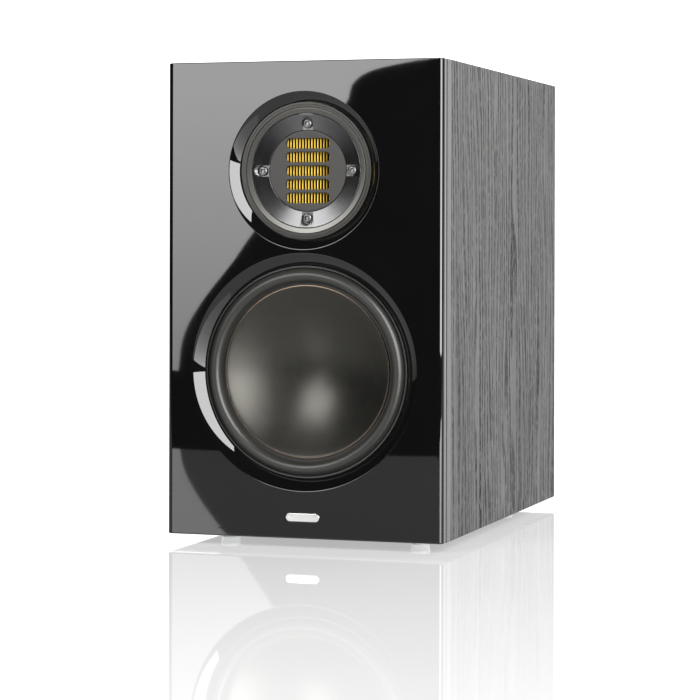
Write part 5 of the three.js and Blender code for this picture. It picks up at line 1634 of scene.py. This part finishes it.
# %% The pad
def wadding_pad():
    low, high = (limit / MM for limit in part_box("damping_wool"))
    half_deep, half_high, thick = (high.y - low.y) / 2, (high.z - low.z) / 2, high.x - low.x
    centre_y, centre_z = (low.y + high.y) / 2, (low.z + high.z) / 2
    skin, levels, steps, squareness = Skin(), [], 96, 0.35
    layers = [(0.9, 0.0), (0.955, 0.01), (0.985, 0.06), (0.992, 0.2), (0.985, 0.4), (0.965, 0.6), (0.925, 0.76),
              (0.86, 0.86), (0.76, 0.92), (0.62, 0.955), (0.45, 0.97), (0.26, 0.978), (0.1, 0.98)]
    for size, rise in layers:
        ring = []
        for k in range(steps):
            a = 2 * math.pi * k / steps
            c, s = math.cos(a), math.sin(a)
            y = centre_y + size * (half_deep - 1) * math.copysign(abs(c) ** squareness, c)
            z = centre_z + size * (half_high - 1) * math.copysign(abs(s) ** squareness, s)
            bumps = noise.noise(Vector((y / 17, z / 17, 3.1))) + 0.5 * noise.noise(Vector((y / 6, z / 6, 8.7)))
            lift = max(0, rise - 0.3) * (1.4 * bumps - 1.2)
            ring.append(Vector((low.x + rise * thick + lift, y, z)) * MM)
        levels.append(ring)
    levels.append([Vector((low.x + 0.95 * thick, centre_y, centre_z)) * MM])
    skin.cap(skin.loft(levels, "open")[0])
    return piece_from(skin, "wadding_pad", 60)


pad = hand_over(wadding_pad(), WADDING, "cabinet", "wool", "damping_wool")
staying = [name for name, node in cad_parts.items() if not node.hide_render]
print("frame nodes that stay:", staying)

# %% [markdown]
# ## Floor and backdrop
#
# A gloss speaker is lit by what it mirrors. It stands on a sheet of white gloss acrylic, which runs out
# a little in front and meets a white backdrop far behind. The sheet sends a soft light up from
# below, and its front edge gives the dark band low in the baffle.

# %% Floor and backdrop
def sheet_of(name, corners, material):
    mesh = bpy.data.meshes.new(name)
    mesh.from_pydata([Vector(c) for c in corners], [], [tuple(range(len(corners)))])
    mesh.materials.append(material)
    sheet = bpy.data.objects.new(name, mesh)
    bpy.context.scene.collection.objects.link(sheet)
    return sheet


def acrylic():
    finish = Finish("white_acrylic", IOR=1.5, Emission_Color=grey(1.0), Emission_Strength=0.42)
    haze = finish.noise(300, 2)
    finish.colour(finish.mix(haze, grey(0.34), grey(0.37)))
    return finish.gloss(haze * 0.01 + 0.02).owner


floor = sheet_of("floor", [(-6, -0.85, 0), (6, -0.85, 0), (6, 2.6, 0), (-6, 2.6, 0)], acrylic())
floor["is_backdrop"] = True


def glowing(name, strength, fade=None):
    """A surface that only gives light. It fades downwards where it is told to."""
    lamp = Nodes(bpy.data.materials.new(name))
    lamp.tree.nodes.clear()
    light = {"Strength": strength}
    if fade:
        low, high, least = fade
        height = lamp.node("ShaderNodeMapRange", None, {0: lamp.axis("Z"), 1: low, 2: high})
        light["Color"] = lamp.mix(height, grey(least), grey(1.0))
    lamp.node("ShaderNodeOutputMaterial", None, {0: lamp.node("ShaderNodeEmission", None, light)}, None)
    return lamp.owner


BACKDROP_CORNERS = [(-8, 2.6, -0.2), (8, 2.6, -0.2), (8, 2.6, 5), (-8, 2.6, 5)]
sheet_of("backdrop", BACKDROP_CORNERS, glowing("backdrop", 1.9))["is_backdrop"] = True

# %% [markdown]
# ## Lamps
#
# One large softbox stands to the right and lights the veneer. It also draws the thin white line
# down the baffle's rounded edge and the crescents in the bevels. A white card to the left is there only
# to be mirrored: its slanting edge is the edge of the pale wedge across the gloss. The wood would not
# notice it. The surroundings stay dim, so the rest of the gloss is black.

# %% Softbox and cards
def facing(azimuth, distance, wide, bottom, top):
    """Corners of an upright rectangle that faces the speaker, by its compass angle from the front."""
    a = math.radians(azimuth)
    centre = Vector((distance * math.sin(a), FACE * MM - distance * math.cos(a), 0))
    along = Vector((math.cos(a), math.sin(a), 0)) * wide / 2
    left, right, low, high = centre - along, centre + along, Vector((0, 0, bottom)), Vector((0, 0, top))
    return [left + low, right + low, right + high, left + high]


def lamp(name, corners, strength, fade=None, shadow=False, diffuse=True):
    """A glowing sheet that the camera itself doesn't see."""
    sheet = sheet_of(name, corners, glowing(name, strength, fade))
    sheet.visible_camera, sheet.visible_shadow, sheet.visible_diffuse = False, shadow, diffuse
    sheet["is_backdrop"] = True


lamp("softbox", facing(55, 1.88, 1.15, 0.046, 2.35), 14.5, shadow=True)

CARD_PLANE = -1.5
CARD_LINE = [(-643, 40), (-636, 83), (-612, 126), (-567, 181), (-545, 211), (-470, 310), (-415, 382),
             (-409, 402), (-385, 421), (-331, 433), (-305, 436)]
edge, _ = smooth_line([Vector((x, 0, z)) for x, z in CARD_LINE], 60)
card_corners = [(spot.x * MM, CARD_PLANE, spot.z * MM) for spot in edge]
card_corners += [(-0.305, CARD_PLANE, 0.7), (-0.665, CARD_PLANE, 0.7), (-0.665, CARD_PLANE, 0.04)]
lamp("left_card", card_corners, 8.4, (50, 400, 0.62), diffuse=False)
lamp("upper_left_light", facing(-24, 1.9, 1.15, 0.70, 1.85), 9.0)

# %% Surroundings: white behind the speaker, dim everywhere else
room = Nodes(bpy.data.worlds.new("studio"))
bpy.context.scene.world = room.owner
room.tree.nodes.clear()
dim, white = (room.node("ShaderNodeBackground", None, {0: grey(value)}) for value in (0.05, 1.0))
seen = room.node("ShaderNodeLightPath", output="Is Camera Ray")
choice = room.node("ShaderNodeMixShader", None, {0: seen, 1: dim, 2: white})
room.node("ShaderNodeOutputWorld", None, {0: choice}, None)
bpy.context.scene.view_settings.view_transform = "Standard"
print("lamps ready")

# %% [markdown]
# ## Camera
#
# A long lens stands far back, level with the tweeter's lower edge, a little to the right. It stays
# exactly level and its film is shifted instead, so the cabinet's upright edges stay upright, as they
# do in an architect's drawing.

# %% Camera
lens = bpy.data.cameras.new("camera")
lens.lens, lens.sensor_width, lens.shift_x, lens.shift_y = 125.07, 36.0, -0.0714, -0.160
lens.clip_start, lens.clip_end = 0.05, 50
camera = bpy.data.objects.new("camera", lens)
camera.location = (0.5512, -1.7234, 0.2116)
camera.rotation_euler = (math.radians(90), math.radians(-0.126), math.radians(17.137))
bpy.context.scene.collection.objects.link(camera)
bpy.context.scene.camera = camera
print("camera at", tuple(round(v, 3) for v in camera.location))

# %% [markdown]
# ## The size of the frame and of the finished pieces
#
# The box of the frame and the box of the finished pieces are printed side by side, so that the two can be
# compared.

sizes = {"cad": cad_box, "visual": [list(corner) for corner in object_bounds()]}
for title, box in sizes.items():
    print(title, [[round(v * 1000, 1) for v in corner] for corner in box])
